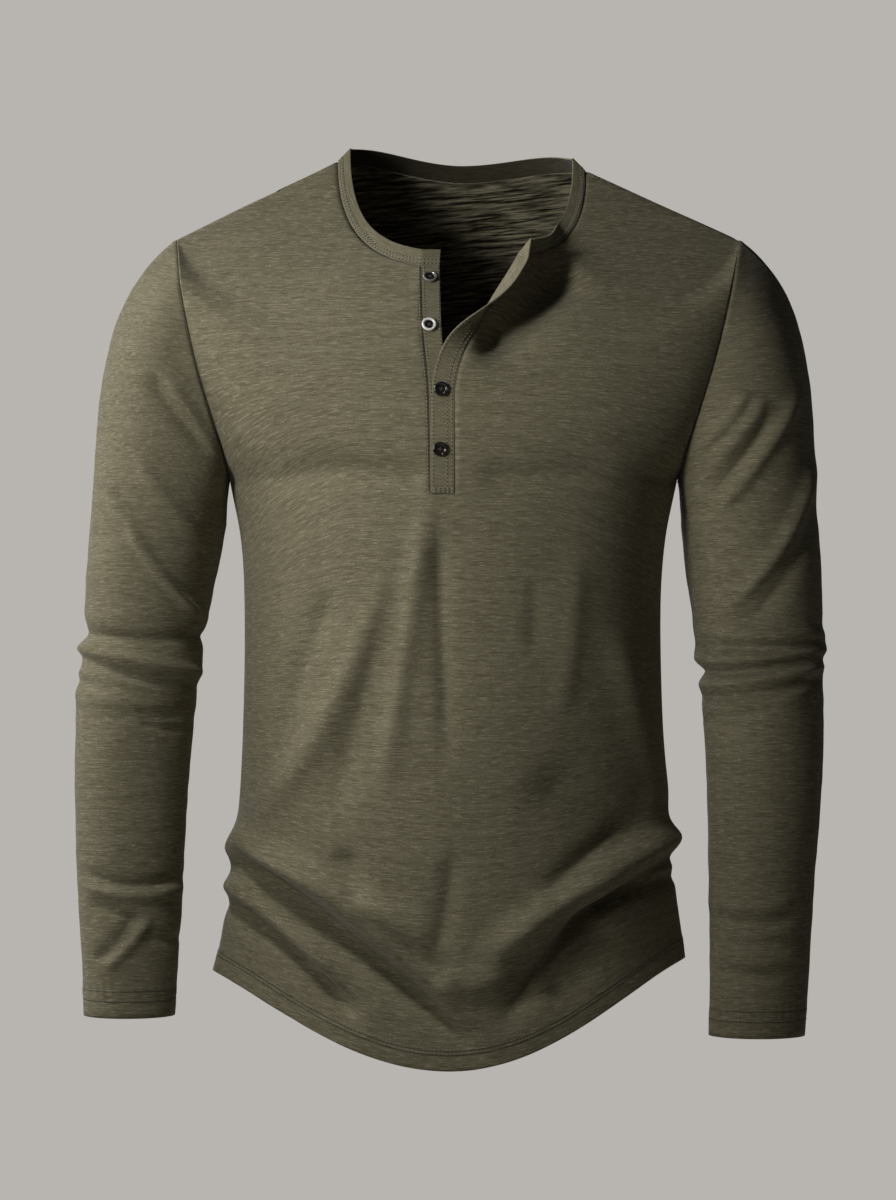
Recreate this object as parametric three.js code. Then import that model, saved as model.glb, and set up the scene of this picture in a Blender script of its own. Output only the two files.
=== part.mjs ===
// Henley shirt with long sleeves, filled out as if worn.
// Millimetres, +Z up, +X towards the wearer's left, -Y is the front.
// The origin is level with the top of the shoulders, on the middle of the body.
import * as THREE from 'three';

// Driving dimensions
const WALL = 1.3; // cloth with its turned edges, taken as one wall
const STRIP_WALL = 1.4; // placket strips, two layers of cloth
const SEAM_GAP = 0.3; // between two pieces that are sewn together
const BAND_WIDTH = 14;
const PLACKET_UNDER_WIDTH = 14.5;
const PLACKET_OVER_WIDTH = 17.5;
const UNDER_DIP = 1.9; // how far the under strip's free edge lies in
const OVER_LIFT = 1.7; // how far the over strip's free edge stands out where it is shut
const BUTTON_RADIUS = 5.75;
const BUTTON_HEIGHT = 2.6;
const BUTTON_GAP = 0.35; // thread between a button and its strip
const BUTTON_SIDES = 20;
const NECK_HALF = 99; // half the width of the neck seam
const ARMPIT_Z = -264;
const SHOULDER_Z = -71; // top of the armhole
const SLEEVE_TOP_Z = -300; // first full ring of the sleeve, at its inner side
const SLEEVE_TILT = 38; // its outer side stands this much higher

// How far up a panel each level lies, 0 at the hem and 1 at the neck seam
const AT = { hem: 0, swags: 0.27, placket: 0.6, armpit: 0.62, shoulder: 0.86, neck: 1 };
const ROWS_BETWEEN = { swags: 14, placket: 10, armpit: 1, shoulder: 10, neck: 5 };
const COLUMNS = { front: 11, slit: 2, back: 16, strip: 2 }; // front: on each side of the slit
const SLEEVE_ROWS = { cap: 7, upper: 4, elbow: 9, lower: 9 };

// Middle of the front and of the back, and the angle that each half row turns through
const FRONT_LINE = [
  { v: 0.0, x: 1, y: -98, z: -725, arc: 90 },
  { v: 0.15, x: 2, y: -104, z: -613, arc: 90 },
  { v: 0.3, x: 3, y: -105, z: -502, arc: 90 },
  { v: 0.45, x: 4, y: -107, z: -390, arc: 90 },
  { v: 0.6, x: 4.5, y: -112, z: -278, arc: 90 },
  { v: 0.65, x: 4.5, y: -115, z: -246, arc: 80 },
  { v: 0.7, x: 5, y: -114, z: -220, arc: 68 },
  { v: 0.75, x: 5.5, y: -110, z: -196, arc: 62 },
  { v: 0.8, x: 6, y: -104, z: -172, arc: 63 },
  { v: 0.86, x: 7.5, y: -94, z: -146, arc: 76 },
  { v: 0.93, x: 9, y: -80, z: -121, arc: 84 },
  { v: 1.0, x: 11, y: -66, z: -100, arc: 90 },
];
const BACK_LINE = [
  { v: 0.0, x: 1, y: 100, z: -735, arc: 90 },
  { v: 0.15, x: 2, y: 106, z: -618, arc: 90 },
  { v: 0.3, x: 3, y: 98, z: -502, arc: 90 },
  { v: 0.42, x: 4, y: 88, z: -405, arc: 90 },
  { v: 0.6, x: 4.5, y: 102, z: -268, arc: 90 },
  { v: 0.68, x: 5, y: 108, z: -210, arc: 74 },
  { v: 0.75, x: 5.5, y: 109, z: -160, arc: 62 },
  { v: 0.8, x: 6, y: 106, z: -124, arc: 62 },
  { v: 0.86, x: 7.5, y: 94, z: -84, arc: 74 },
  { v: 0.93, x: 9, y: 76, z: -48, arc: 84 },
  { v: 1.0, x: 11, y: 62, z: -19.5, arc: 90 },
];
const BACK_NECK_CREST = 4; // the back of the neck stands this much higher beside its middle

// Side seams, from the hem up: how far out each stands
const SIDE_SEAM = [
  { z: -656, right: 189, left: 191, y: 12 },
  { z: -632, right: 183, left: 188, y: 12 },
  { z: -600, right: 178, left: 184, y: 11 },
  { z: -568, right: 174, left: 180, y: 10 },
  { z: -520, right: 167, left: 175, y: 9 },
  { z: -440, right: 163, left: 171, y: 8 },
  { z: -360, right: 163, left: 170, y: 8 },
  { z: -310, right: 166, left: 174, y: 7 },
  { z: -264, right: 175, left: 184, y: 6 },
];
const HEM_Z = { right: -656, left: -646 };

// Armhole, from the armpit (t 0) to the shoulder (t 1)
const ARMHOLE = [
  { t: 0.0, z: ARMPIT_Z, middle: 4.5, half: 179.5, front: 6, back: 6 },
  { t: 0.12, z: -250, middle: 4.7, half: 181.5, front: -28, back: 38 },
  { t: 0.27, z: -222, middle: 5, half: 189, front: -48, back: 60 },
  { t: 0.51, z: -168, middle: 5.5, half: 205, front: -54, back: 72 },
  { t: 0.77, z: -113, middle: 6.5, half: 217.5, front: -40, back: 54 },
  { t: 1.0, z: SHOULDER_Z, middle: 8, half: 225, front: 2, back: 2 },
];
const NECK_POINT = { right: { y: 4, z: -8 }, left: { y: 4, z: -16 } };

// Slit of the placket: its two sides, at each height of the middle of the front
const SLIT = [
  { z: -278, right: -13.5, left: 5 },
  { z: -200, right: -15, left: 5 },
  { z: -150, right: -19.5, left: 5 },
  { z: -100, right: -21, left: 5 },
];
// Above the third button the wearer's left side of the slit hangs open
const OPENED = { from: -202, to: -94, slide: 55, raise: 18, lift: 6, reach: 26, turn: 133 };

// Sleeves: how far down, near and far side, half depth and place in depth
const SLEEVE = [
  { down: 0.0, nearRight: 178.5, farRight: 284, nearLeft: 187, farLeft: 295, deep: 60, y: 8 },
  { down: 0.08, nearRight: 184, farRight: 288, nearLeft: 190, farLeft: 298, deep: 57, y: 8 },
  { down: 0.16, nearRight: 190, farRight: 291, nearLeft: 195, farLeft: 300, deep: 55, y: 8 },
  { down: 0.26, nearRight: 197, farRight: 292, nearLeft: 200, farLeft: 300, deep: 51, y: 4 },
  { down: 0.36, nearRight: 201, farRight: 296, nearLeft: 203, farLeft: 300, deep: 49, y: -4 },
  { down: 0.52, nearRight: 206, farRight: 297, nearLeft: 206, farLeft: 297, deep: 44, y: -12 },
  { down: 0.7, nearRight: 210, farRight: 295, nearLeft: 207, farLeft: 291, deep: 39, y: -20 },
  { down: 0.86, nearRight: 213, farRight: 291, nearLeft: 208, farLeft: 287, deep: 35, y: -27 },
  { down: 1.0, nearRight: 216, farRight: 288, nearLeft: 207, farLeft: 282, deep: 32, y: -32 },
];
const SLEEVE_LENGTH = { right: 388, left: 404 }; // below its first full ring
const ELBOW = { top: 0.16, bottom: 0.42 }; // where its rings lie closer, as shares of that length
// Ways that the cap leaves the armhole and reaches the first ring: out, down and forward,
// at the armpit and added at the shoulder
const CAP = {
  out: 4, outTop: 188, down: 25, downTop: 112, forward: 30,
  endDown: 30, endTop: 120, endOut: 12,
};
// Neckband: how far it leans in, and how it stands where the opened slit turns it back
const LEAN = { middle: 0.3, sides: 0.4 };
const TURNED_BACK = { x: 0.6, y: 0.2, z: 0.78, wider: 2, from: 100, over: 35 };

// Folds as the front shows them: from one end, past the middle, to the other end, in x and z.
// rise is the height of the fold, below zero for a trough, and half its half width.
const FRONT_FOLDS = [
  // shirt-tail swags
  { from: [-230, -547], past: [-106, -577], to: [13, -647], rise: 7, half: 13 },
  { from: [40, -638], past: [117, -567], to: [241, -531], rise: 8, half: 15 },
  { from: [-12, -640], past: [18, -650], to: [48, -636], rise: 4, half: 14 },
  { from: [-215, -548], past: [-87, -625], to: [30, -704], rise: -8, half: 11 },
  { from: [215, -536], past: [104, -602], to: [42, -690], rise: -8, half: 13 },
  { from: [122, -612], past: [100, -636], to: [80, -672], rise: -4, half: 17 },
  { from: [-222, -576], past: [-139, -605], to: [-70, -680], rise: 6, half: 10 },
  { from: [-205, -594], past: [-125, -639], to: [-62, -698], rise: -6, half: 9 },
  { from: [248, -567], past: [163, -575], to: [90, -610], rise: 6, half: 9 },
  { from: [240, -584], past: [150, -587], to: [90, -622], rise: -5, half: 8 },
  // long folds below the placket
  { from: [-12, -272], past: [-30, -381], to: [-52, -530], rise: 3, half: 10 },
  { from: [-28, -290], past: [-60, -410], to: [-94, -545], rise: -4, half: 13 },
  { from: [-22, -280], past: [-85, -437], to: [-165, -547], rise: 4, half: 14 },
  { from: [-84, -345], past: [-114, -410], to: [-142, -500], rise: -3.5, half: 14 },
  { from: [-6, -300], past: [-4, -391], to: [2, -500], rise: -3.5, half: 8 },
  { from: [4, -545], past: [-1, -600], to: [-12, -640], rise: -3, half: 9 },
  { from: [-84, -552], past: [-76, -575], to: [-66, -600], rise: -3, half: 11 },
  { from: [98, -315], past: [96, -391], to: [84, -460], rise: 1.5, half: 11 },
  { from: [66, -340], past: [68, -370], to: [66, -410], rise: -1.5, half: 8 },
  { from: [160, -545], past: [112, -524], to: [50, -470], rise: -7, half: 26 },
  { from: [128, -370], past: [154, -465], to: [182, -545], rise: 3, half: 14 },
  // under the chest
  { from: [-135, -258], past: [-60, -260], to: [-14, -270], rise: -3, half: 14 },
  { from: [20, -266], past: [70, -262], to: [140, -256], rise: -2.5, half: 15 },
  // pocket behind the turned-out placket
  { from: [92, -96], past: [60, -135], to: [14, -190], rise: -9, half: 15 },
];
const BACK_FOLDS = [
  { from: [-230, -547], past: [-100, -585], to: [30, -640], rise: 6, half: 14 },
  { from: [-10, -636], past: [110, -580], to: [241, -531], rise: 7, half: 15 },
  { from: [-215, -566], past: [-110, -618], to: [10, -688], rise: -6, half: 12 },
  { from: [215, -552], past: [115, -608], to: [30, -676], rise: -6, half: 13 },
  { from: [-222, -588], past: [-130, -600], to: [-60, -632], rise: 4, half: 10 },
  { from: [248, -572], past: [160, -590], to: [80, -630], rise: 4, half: 10 },
  { from: [-60, -300], past: [-74, -390], to: [-50, -500], rise: 3, half: 14 },
  { from: [50, -290], past: [70, -390], to: [96, -520], rise: 3.5, half: 15 },
  { from: [2, -330], past: [8, -420], to: [-4, -520], rise: -4, half: 16 },
  { from: [-150, -380], past: [-90, -440], to: [-20, -470], rise: -3, half: 14 },
  { from: [-160, -190], past: [-90, -215], to: [-30, -280], rise: -2.5, half: 14 },
  { from: [168, -186], past: [104, -220], to: [50, -290], rise: -2.5, half: 14 },
];
const RIGHT_SLEEVE_FOLDS = {
  front: [
    { from: [-236, -180], past: [-213, -213], to: [-174, -256], rise: -4, half: 7 },
    { from: [-228, -176], past: [-196, -222], to: [-172, -250], rise: 3, half: 7 },
    { from: [-246, -240], past: [-223, -281], to: [-190, -318], rise: 2.5, half: 7 },
    { from: [-276, -235], past: [-247, -313], to: [-186, -386], rise: 3.5, half: 7 },
    { from: [-222, -152], past: [-199, -181], to: [-182, -202], rise: -3, half: 9 },
    { from: [-334, -380], past: [-250, -390], to: [-170, -386], rise: -5, half: 6 },
    { from: [-340, -396], past: [-258, -402], to: [-172, -415], rise: 6, half: 8 },
    { from: [-292, -397], past: [-245, -417], to: [-180, -430], rise: -4, half: 5 },
    { from: [-330, -420], past: [-258, -425], to: [-200, -431], rise: -3, half: 6 },
    { from: [-320, -431], past: [-262, -438], to: [-205, -446], rise: 2, half: 9 },
    { from: [-300, -592], past: [-250, -600], to: [-206, -590], rise: 2, half: 9 },
    { from: [-300, -630], past: [-252, -641], to: [-212, -632], rise: 2, half: 9 },
  ],
  back: [
    { from: [-330, -372], past: [-250, -384], to: [-170, -392], rise: -4, half: 7 },
    { from: [-336, -393], past: [-250, -404], to: [-178, -414], rise: 4, half: 9 },
    { from: [-318, -424], past: [-250, -420], to: [-190, -432], rise: -3, half: 7 },
    { from: [-262, -170], past: [-240, -215], to: [-196, -250], rise: 3, half: 9 },
    { from: [-280, -250], past: [-240, -310], to: [-200, -350], rise: 3, half: 10 },
    { from: [-300, -600], past: [-250, -612], to: [-206, -600], rise: 2, half: 10 },
  ],
};
const LEFT_SLEEVE_FOLDS = {
  front: [
    { from: [236, -192], past: [218, -221], to: [186, -248], rise: 3, half: 6 },
    { from: [252, -200], past: [230, -229], to: [198, -268], rise: 3.5, half: 7 },
    { from: [255, -212], past: [234, -246], to: [200, -284], rise: -3, half: 5 },
    { from: [262, -222], past: [242, -252], to: [204, -299], rise: 4, half: 7 },
    { from: [280, -262], past: [258, -328], to: [205, -390], rise: 4.5, half: 8 },
    { from: [286, -276], past: [269, -340], to: [222, -396], rise: -2.5, half: 9 },
    { from: [256, -384], past: [288, -389], to: [340, -400], rise: 5, half: 7 },
    { from: [222, -395], past: [258, -399], to: [298, -401], rise: -3, half: 5 },
    { from: [188, -405], past: [249, -410], to: [326, -399], rise: 4.5, half: 7 },
    { from: [170, -417], past: [237, -416], to: [300, -420], rise: -5, half: 6 },
    { from: [320, -408], past: [272, -431], to: [210, -444], rise: 4, half: 7 },
    { from: [276, -433], past: [248, -443], to: [196, -456], rise: -3.5, half: 6 },
    { from: [290, -592], past: [248, -606], to: [206, -598], rise: 2, half: 9 },
    { from: [290, -640], past: [246, -652], to: [208, -644], rise: 2, half: 9 },
  ],
  back: [
    { from: [330, -398], past: [256, -396], to: [176, -404], rise: 4, half: 8 },
    { from: [320, -414], past: [250, -416], to: [170, -417], rise: -4, half: 7 },
    { from: [320, -408], past: [256, -432], to: [196, -444], rise: 3, half: 8 },
    { from: [276, -176], past: [252, -220], to: [206, -262], rise: 4, half: 9 },
    { from: [290, -262], past: [256, -318], to: [210, -360], rise: 3, half: 10 },
    { from: [290, -606], past: [250, -616], to: [206, -604], rise: 2, half: 10 },
  ],
};

// Buttons: where each is sewn, and on which strip
const BUTTONS = [
  { name: 'button_1', x: -14.2, z: -108, strip: 'under' },
  { name: 'button_2', x: -14.9, z: -147, strip: 'under' },
  { name: 'button_3', x: -5.4, z: -197, strip: 'over' },
  { name: 'button_4', x: -6.2, z: -244, strip: 'over' },
];

// Materials
const cloth = (color) => new THREE.MeshStandardMaterial({ color, roughness: 0.92, metalness: 0 });
const JERSEY = cloth(0x5a563f);
const JERSEY_STRIP = cloth(0x625e47);
const BUTTON_RESIN = new THREE.MeshStandardMaterial({ color: 0x16130f, roughness: 0.22, metalness: 0 });

const { clamp, lerp, degToRad } = THREE.MathUtils;
const smooth = (t) => THREE.MathUtils.smoothstep(t, 0, 1);
const vec = (x, y, z) => new THREE.Vector3(x, y, z);

// A smooth curve through one column of a table, read at a place in its key column
function read(table, key, at, column) {
  const last = table.length - 1;
  const [first, end] = [table[0][key], table[last][key]];
  const place = clamp(at, Math.min(first, end), Math.max(first, end));
  let i = 0;
  while (i < last - 1 && place > table[i + 1][key]) i += 1;
  const slope = (k) => {
    const before = table[Math.max(k - 1, 0)];
    const after = table[Math.min(k + 1, last)];
    return (after[column] - before[column]) / (after[key] - before[key]);
  };
  const width = table[i + 1][key] - table[i][key];
  const t = (place - table[i][key]) / width;
  return hermite(table[i][column], slope(i) * width, table[i + 1][column], slope(i + 1) * width, t);
}

function hermite(start, startSlope, end, endSlope, t) {
  const t2 = t * t;
  const t3 = t2 * t;
  return (2 * t3 - 3 * t2 + 1) * start + (t3 - 2 * t2 + t) * startSlope
    + (3 * t2 - 2 * t3) * end + (t3 - t2) * endSlope;
}

// Edge of a panel at height v: side seam, then armhole, then shoulder seam
function panelEdge(face, side, v) {
  const sign = side === 'left' ? 1 : -1;
  if (v <= AT.armpit) {
    const z = lerp(HEM_Z[side], ARMPIT_Z, v / AT.armpit);
    return vec(sign * read(SIDE_SEAM, 'z', z, side), read(SIDE_SEAM, 'z', z, 'y'), z);
  }
  const t = Math.min((v - AT.armpit) / (AT.shoulder - AT.armpit), 1);
  const point = vec(
    read(ARMHOLE, 't', t, 'middle') + sign * read(ARMHOLE, 't', t, 'half'),
    read(ARMHOLE, 't', t, face),
    read(ARMHOLE, 't', t, 'z'),
  );
  const neck = NECK_POINT[side];
  const across = Math.max(v - AT.shoulder, 0) / (AT.neck - AT.shoulder);
  return point.lerp(vec(FRONT_LINE.at(-1).x + sign * NECK_HALF, neck.y, neck.z), across);
}

// One row of a panel: its middle, both edges and the angle of its arc
function panelRow(face, v) {
  const line = face === 'front' ? FRONT_LINE : BACK_LINE;
  return {
    face,
    v,
    middle: vec(read(line, 'v', v, 'x'), read(line, 'v', v, 'y'), read(line, 'v', v, 'z')),
    right: panelEdge(face, 'right', v),
    left: panelEdge(face, 'left', v),
    arc: degToRad(read(line, 'v', v, 'arc')),
  };
}

// A point of the row, u from -1 at the wearer's right edge to 1 at the left edge
function rowPoint(row, u) {
  const edge = u < 0 ? row.right : row.left;
  const q = Math.abs(u);
  const hemRise = 1 - Math.cos(q * Math.PI / 2) ** 3;
  const neckRise = row.face === 'front' ? q ** 2.45 : Math.sin(q * Math.PI / 2) ** 1.3;
  const rise = lerp(hemRise, neckRise, smooth((row.v - 0.3) / 0.3));
  const crest = row.face === 'back' ? BACK_NECK_CREST * Math.sin(q * Math.PI) : 0;
  return vec(
    lerp(row.middle.x, edge.x, Math.sin(q * row.arc) / Math.sin(row.arc)),
    lerp(row.middle.y, edge.y, (1 - Math.cos(q * row.arc)) / (1 - Math.cos(row.arc))),
    lerp(row.middle.z, edge.z, rise) + crest * smooth((row.v - AT.shoulder) / (1 - AT.shoulder)),
  );
}

// The place u of the row where it crosses x
function placeOf(row, x) {
  const edge = x < row.middle.x ? row.right : row.left;
  const share = clamp((x - row.middle.x) / (edge.x - row.middle.x), 0, 1);
  return Math.sign(x - row.middle.x) * Math.asin(share * Math.sin(row.arc)) / row.arc;
}

// How far open the slit is at a height, 0 at the third button and 1 at the neck
const openness = (z) => clamp((z - OPENED.from) / (OPENED.to - OPENED.from), 0, 1);
const slitSlide = (z) => OPENED.slide * openness(z) ** 1.7;

// The front, with the wearer's left side of the slit slid open and raised off the chest
function frontPoint(row, u) {
  const height = row.middle.z;
  const slitLeft = placeOf(row, read(SLIT, 'z', height, 'left'));
  if (u < slitLeft || u === 1 || height < OPENED.from) return rowPoint(row, u);
  const fromSlit = (u - slitLeft) / (1 - slitLeft);
  const shut = rowPoint(row, u);
  const slid = placeOf(row, shut.x + slitSlide(height) * (1 - fromSlit) ** 1.6);
  const point = rowPoint(row, slid);
  const away = point.x - read(SLIT, 'z', height, 'left') - slitSlide(height);
  const near = Math.exp(-((away / OPENED.reach) ** 2));
  point.y -= OPENED.raise * openness(height) ** 1.3 * near;
  point.z += OPENED.lift * openness(height) ** 3 * near;
  return point;
}

// Heights of the rows of both panels, so that their seams share every point
function panelRows() {
  const rows = [AT.hem];
  let from = AT.hem;
  for (const [level, count] of Object.entries(ROWS_BETWEEN)) {
    for (let i = 1; i <= count; i += 1) rows.push(lerp(from, AT[level], i / count));
    from = AT[level];
  }
  return rows;
}
const HEIGHTS = panelRows();
const PLACKET_ROW = ROWS_BETWEEN.swags + ROWS_BETWEEN.placket;
const ARMPIT_ROW = PLACKET_ROW + ROWS_BETWEEN.armpit;
const SHOULDER_ROW = ARMPIT_ROW + ROWS_BETWEEN.shoulder;
const NECK_ROW = HEIGHTS.length - 1;

function frontGrid() {
  const { front: half, slit } = COLUMNS;
  return HEIGHTS.map((v) => {
    const row = panelRow('front', v);
    const slitRight = placeOf(row, read(SLIT, 'z', row.middle.z, 'right'));
    const slitLeft = placeOf(row, read(SLIT, 'z', row.middle.z, 'left'));
    const places = [];
    for (let c = 0; c < half; c += 1) places.push(lerp(-1, slitRight, c / half));
    for (let c = 0; c < slit; c += 1) places.push(lerp(slitRight, slitLeft, c / slit));
    for (let c = 0; c <= half; c += 1) places.push(lerp(slitLeft, 1, c / half));
    return places.map((u) => ({ point: frontPoint(row, u), ...panelShares(v, u, 'front') }));
  });
}

// The back runs from the wearer's left to the right, as it is seen from behind
function backGrid() {
  return HEIGHTS.map((v) => {
    const row = panelRow('back', v);
    const cells = [];
    for (let c = 0; c <= COLUMNS.back; c += 1) {
      const u = lerp(1, -1, c / COLUMNS.back);
      cells.push({ point: rowPoint(row, u), ...panelShares(v, u, 'back') });
    }
    return cells;
  });
}

// Shares of the front and the back folds at a place: equal on the side seam, none at the armhole
function panelShares(v, u, face) {
  const nearEdge = smooth((Math.abs(u) - 0.75) / 0.25);
  const calm = v > AT.armpit ? 1 - nearEdge : 1;
  const own = (1 - 0.5 * nearEdge) * calm;
  const other = 0.5 * nearEdge * calm;
  return face === 'front' ? { front: own, back: other } : { front: other, back: own };
}

// Sleeve: rows from the cuff up to the armhole, points all round from the shoulder
function sleeveGrid(side, armhole) {
  const sign = side === 'left' ? 1 : -1;
  const near = side === 'left' ? 'nearLeft' : 'nearRight';
  const far = side === 'left' ? 'farLeft' : 'farRight';
  const count = armhole.length;
  const ring = (down) => armhole.map((unused, k) => {
    const angle = 2 * Math.PI * k / count;
    const inner = read(SLEEVE, 'down', down, near);
    const outer = read(SLEEVE, 'down', down, far);
    const tilt = SLEEVE_TILT * Math.max(0, 1 - down / 0.25) ** 2;
    return vec(
      sign * (inner + outer + (outer - inner) * Math.cos(angle)) / 2,
      read(SLEEVE, 'down', down, 'y') - read(SLEEVE, 'down', down, 'deep') * Math.sin(angle),
      SLEEVE_TOP_Z - SLEEVE_LENGTH[side] * down + tilt * (1 + Math.cos(angle)) / 2,
    );
  });
  const downs = [];
  const { cap, upper, elbow, lower } = SLEEVE_ROWS;
  for (let i = 0; i < lower; i += 1) downs.push(lerp(1, ELBOW.bottom, i / lower));
  for (let i = 0; i < elbow; i += 1) downs.push(lerp(ELBOW.bottom, ELBOW.top, i / elbow));
  for (let i = 0; i <= upper; i += 1) downs.push(lerp(ELBOW.top, 0, i / upper));
  const rows = downs.map((down) => ring(down));
  const top = rows.at(-1);
  for (let i = 1; i <= cap; i += 1) {
    const t = (1 - i / cap) ** 1.15;
    rows.push(armhole.map((start, k) => capPoint(sign, start, top[k], 2 * Math.PI * k / count, t)));
  }
  const shares = (r, k) => {
    const forward = smooth(0.5 + 0.8 * Math.sin(2 * Math.PI * k / count));
    const calm = smooth((rows.length - 1 - r) / 3);
    return { front: forward * calm, back: (1 - forward) * calm };
  };
  const grid = rows.map((row, r) => row.map((point, k) => ({ point: point.clone(), ...shares(r, k) })));
  // points run to the right as they are seen from outside
  return sign > 0 ? grid.map((row) => [row[0], ...row.slice(1).reverse()]) : grid;
}

// Sleeve cap: from the armhole out and down to the first full ring
function capPoint(sign, start, end, angle, t) {
  const top = (1 + Math.cos(angle)) / 2;
  const out = CAP.out + CAP.outTop * top ** 1.1;
  const leave = vec(sign * out, -CAP.forward * Math.sin(angle), -CAP.down - CAP.downTop * top);
  const arrive = vec(sign * CAP.endOut * top, 0, -CAP.endDown - CAP.endTop * top);
  return vec(
    hermite(start.x, leave.x, end.x, arrive.x, t),
    hermite(start.y, leave.y, end.y, arrive.y, t),
    hermite(start.z, leave.z, end.z, arrive.z, t),
  );
}

// Height of all the folds of a list at one point, as the front view places them
const FOLD_STEPS = 16;
function foldHeight(folds, point) {
  let height = 0;
  for (const { from, past, to, rise, half } of folds) {
    const bend = [2 * past[0] - (from[0] + to[0]) / 2, 2 * past[1] - (from[1] + to[1]) / 2];
    let nearest = Infinity;
    let along = 0;
    for (let i = 0; i <= FOLD_STEPS; i += 1) {
      const t = i / FOLD_STEPS;
      const s = 1 - t;
      const x = s * s * from[0] + 2 * s * t * bend[0] + t * t * to[0];
      const z = s * s * from[1] + 2 * s * t * bend[1] + t * t * to[1];
      const distance = Math.hypot(point.x - x, point.z - z);
      if (distance < nearest) {
        nearest = distance;
        along = t;
      }
    }
    const fade = smooth(along / 0.25) * smooth((1 - along) / 0.25);
    height += rise * fade * Math.exp(-((nearest / half) ** 2));
  }
  return height;
}

// Moves the points of a grid out by its folds
function layFolds(grid, folds, normals) {
  grid.forEach((row, r) => row.forEach((cell, c) => {
    const height = cell.front * foldHeight(folds.front, cell.point)
      + cell.back * foldHeight(folds.back, cell.point);
    cell.moved = cell.point.clone().addScaledVector(normals[r][c], height);
  }));
  for (const row of grid) {
    for (const cell of row) cell.point = cell.moved;
  }
}

// Outward directions of a grid's points, shared wherever two pieces meet
const keyOf = (p) => `${p.x.toFixed(2)} ${p.y.toFixed(2)} ${p.z.toFixed(2)}`;
function sharedNormals(pieces) {
  const sums = new Map();
  for (const { grid, closed } of pieces) {
    const rows = grid.length;
    const columns = grid[0].length;
    const cells = closed ? columns : columns - 1;
    for (let r = 0; r < rows - 1; r += 1) {
      for (let c = 0; c < cells; c += 1) {
        const corner = [grid[r][c], grid[r][(c + 1) % columns],
          grid[r + 1][(c + 1) % columns], grid[r + 1][c]].map((cell) => cell.point);
        const across = corner[2].clone().sub(corner[0]);
        const up = corner[3].clone().sub(corner[1]);
        const normal = across.cross(up).normalize();
        for (const p of corner) {
          const key = keyOf(p);
          if (!sums.has(key)) sums.set(key, vec(0, 0, 0));
          sums.get(key).add(normal);
        }
      }
    }
  }
  for (const sum of sums.values()) sum.normalize();
  return pieces.map(({ grid }) => grid.map((row) => row.map((cell) => sums.get(keyOf(cell.point)))));
}

// Whether one seam point comes before another, from the bottom up
function isLower(a, b) {
  if (Math.abs(a.z - b.z) > 0.01) return a.z < b.z;
  if (Math.abs(a.y - b.y) > 0.01) return a.y < b.y;
  return a.x < b.x;
}

// A closed wall of cloth on a grid: outer face on its points, inner face one wall further in
function clothWall(piece, normals) {
  const { grid, closed, wall, missing } = piece;
  const rows = grid.length;
  const columns = grid[0].length;
  const wrap = (c) => (c + columns) % columns;
  const present = (r, c) => {
    if (r < 0 || r > rows - 2) return false;
    if (!closed && (c < 0 || c > columns - 2)) return false;
    return !(missing && missing(r, c));
  };
  // each free edge is drawn in by half a seam gap, square to the shared outward direction
  const drawnIn = (r, c) => {
    const here = grid[r][c].point;
    const pull = vec(0, 0, 0);
    const step = (dr, dc) => {
      const inward = grid[r + dr][wrap(c + dc)].point.clone().sub(here);
      pull.add(inward.projectOnPlane(normals[r][c]).normalize());
    };
    const above = present(r, c) || present(r, c - 1);
    const below = present(r - 1, c) || present(r - 1, c - 1);
    const after = present(r, c) || present(r - 1, c);
    const before = present(r, c - 1) || present(r - 1, c - 1);
    if (above && !below) step(1, 0);
    if (below && !above) step(-1, 0);
    if (after && !before) step(0, 1);
    if (before && !after) step(0, -1);
    return here.clone().addScaledVector(pull, SEAM_GAP / 2);
  };
  const positions = [];
  const faces = [];
  const outer = (r, c) => 2 * (r * columns + wrap(c));
  const inner = (r, c) => outer(r, c) + 1;
  for (let r = 0; r < rows; r += 1) {
    for (let c = 0; c < columns; c += 1) {
      const out = drawnIn(r, c);
      const back = out.clone().addScaledVector(normals[r][c], -wall);
      positions.push(out.x, out.y, out.z, back.x, back.y, back.z);
    }
  }
  const quad = (a, b, c, d) => faces.push(a, b, c, a, c, d);
  // a rim from seam point a to seam point b, always split from the lower one's outer side,
  // so that the rims of two pieces that meet stay parallel
  const rim = (a, b) => {
    const low = isLower(grid[a[0]][wrap(a[1])].point, grid[b[0]][wrap(b[1])].point);
    const corners = [outer(...b), outer(...a), inner(...a), inner(...b)];
    if (low) quad(corners[1], corners[2], corners[3], corners[0]);
    else quad(...corners);
  };
  const cells = closed ? columns : columns - 1;
  for (let r = 0; r < rows - 1; r += 1) {
    for (let c = 0; c < cells; c += 1) {
      if (!present(r, c)) continue;
      quad(outer(r, c), outer(r, c + 1), outer(r + 1, c + 1), outer(r + 1, c));
      quad(inner(r, c), inner(r + 1, c), inner(r + 1, c + 1), inner(r, c + 1));
      if (!present(r - 1, c)) rim([r, c], [r, c + 1]);
      if (!present(r + 1, c)) rim([r + 1, c + 1], [r + 1, c]);
      if (!present(r, c - 1)) rim([r + 1, c], [r, c]);
      if (!present(r, c + 1)) rim([r, c + 1], [r + 1, c + 1]);
    }
  }
  return usedOnly(positions, faces);
}

// Geometry of the faces, with the points that no face uses left out
function usedOnly(positions, faces) {
  const place = new Map();
  const kept = [];
  const index = faces.map((i) => {
    if (!place.has(i)) {
      place.set(i, kept.length / 3);
      kept.push(positions[3 * i], positions[3 * i + 1], positions[3 * i + 2]);
    }
    return place.get(i);
  });
  const geometry = new THREE.BufferGeometry();
  geometry.setAttribute('position', new THREE.Float32BufferAttribute(kept, 3));
  geometry.setIndex(index);
  geometry.computeVertexNormals();
  return geometry;
}

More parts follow.
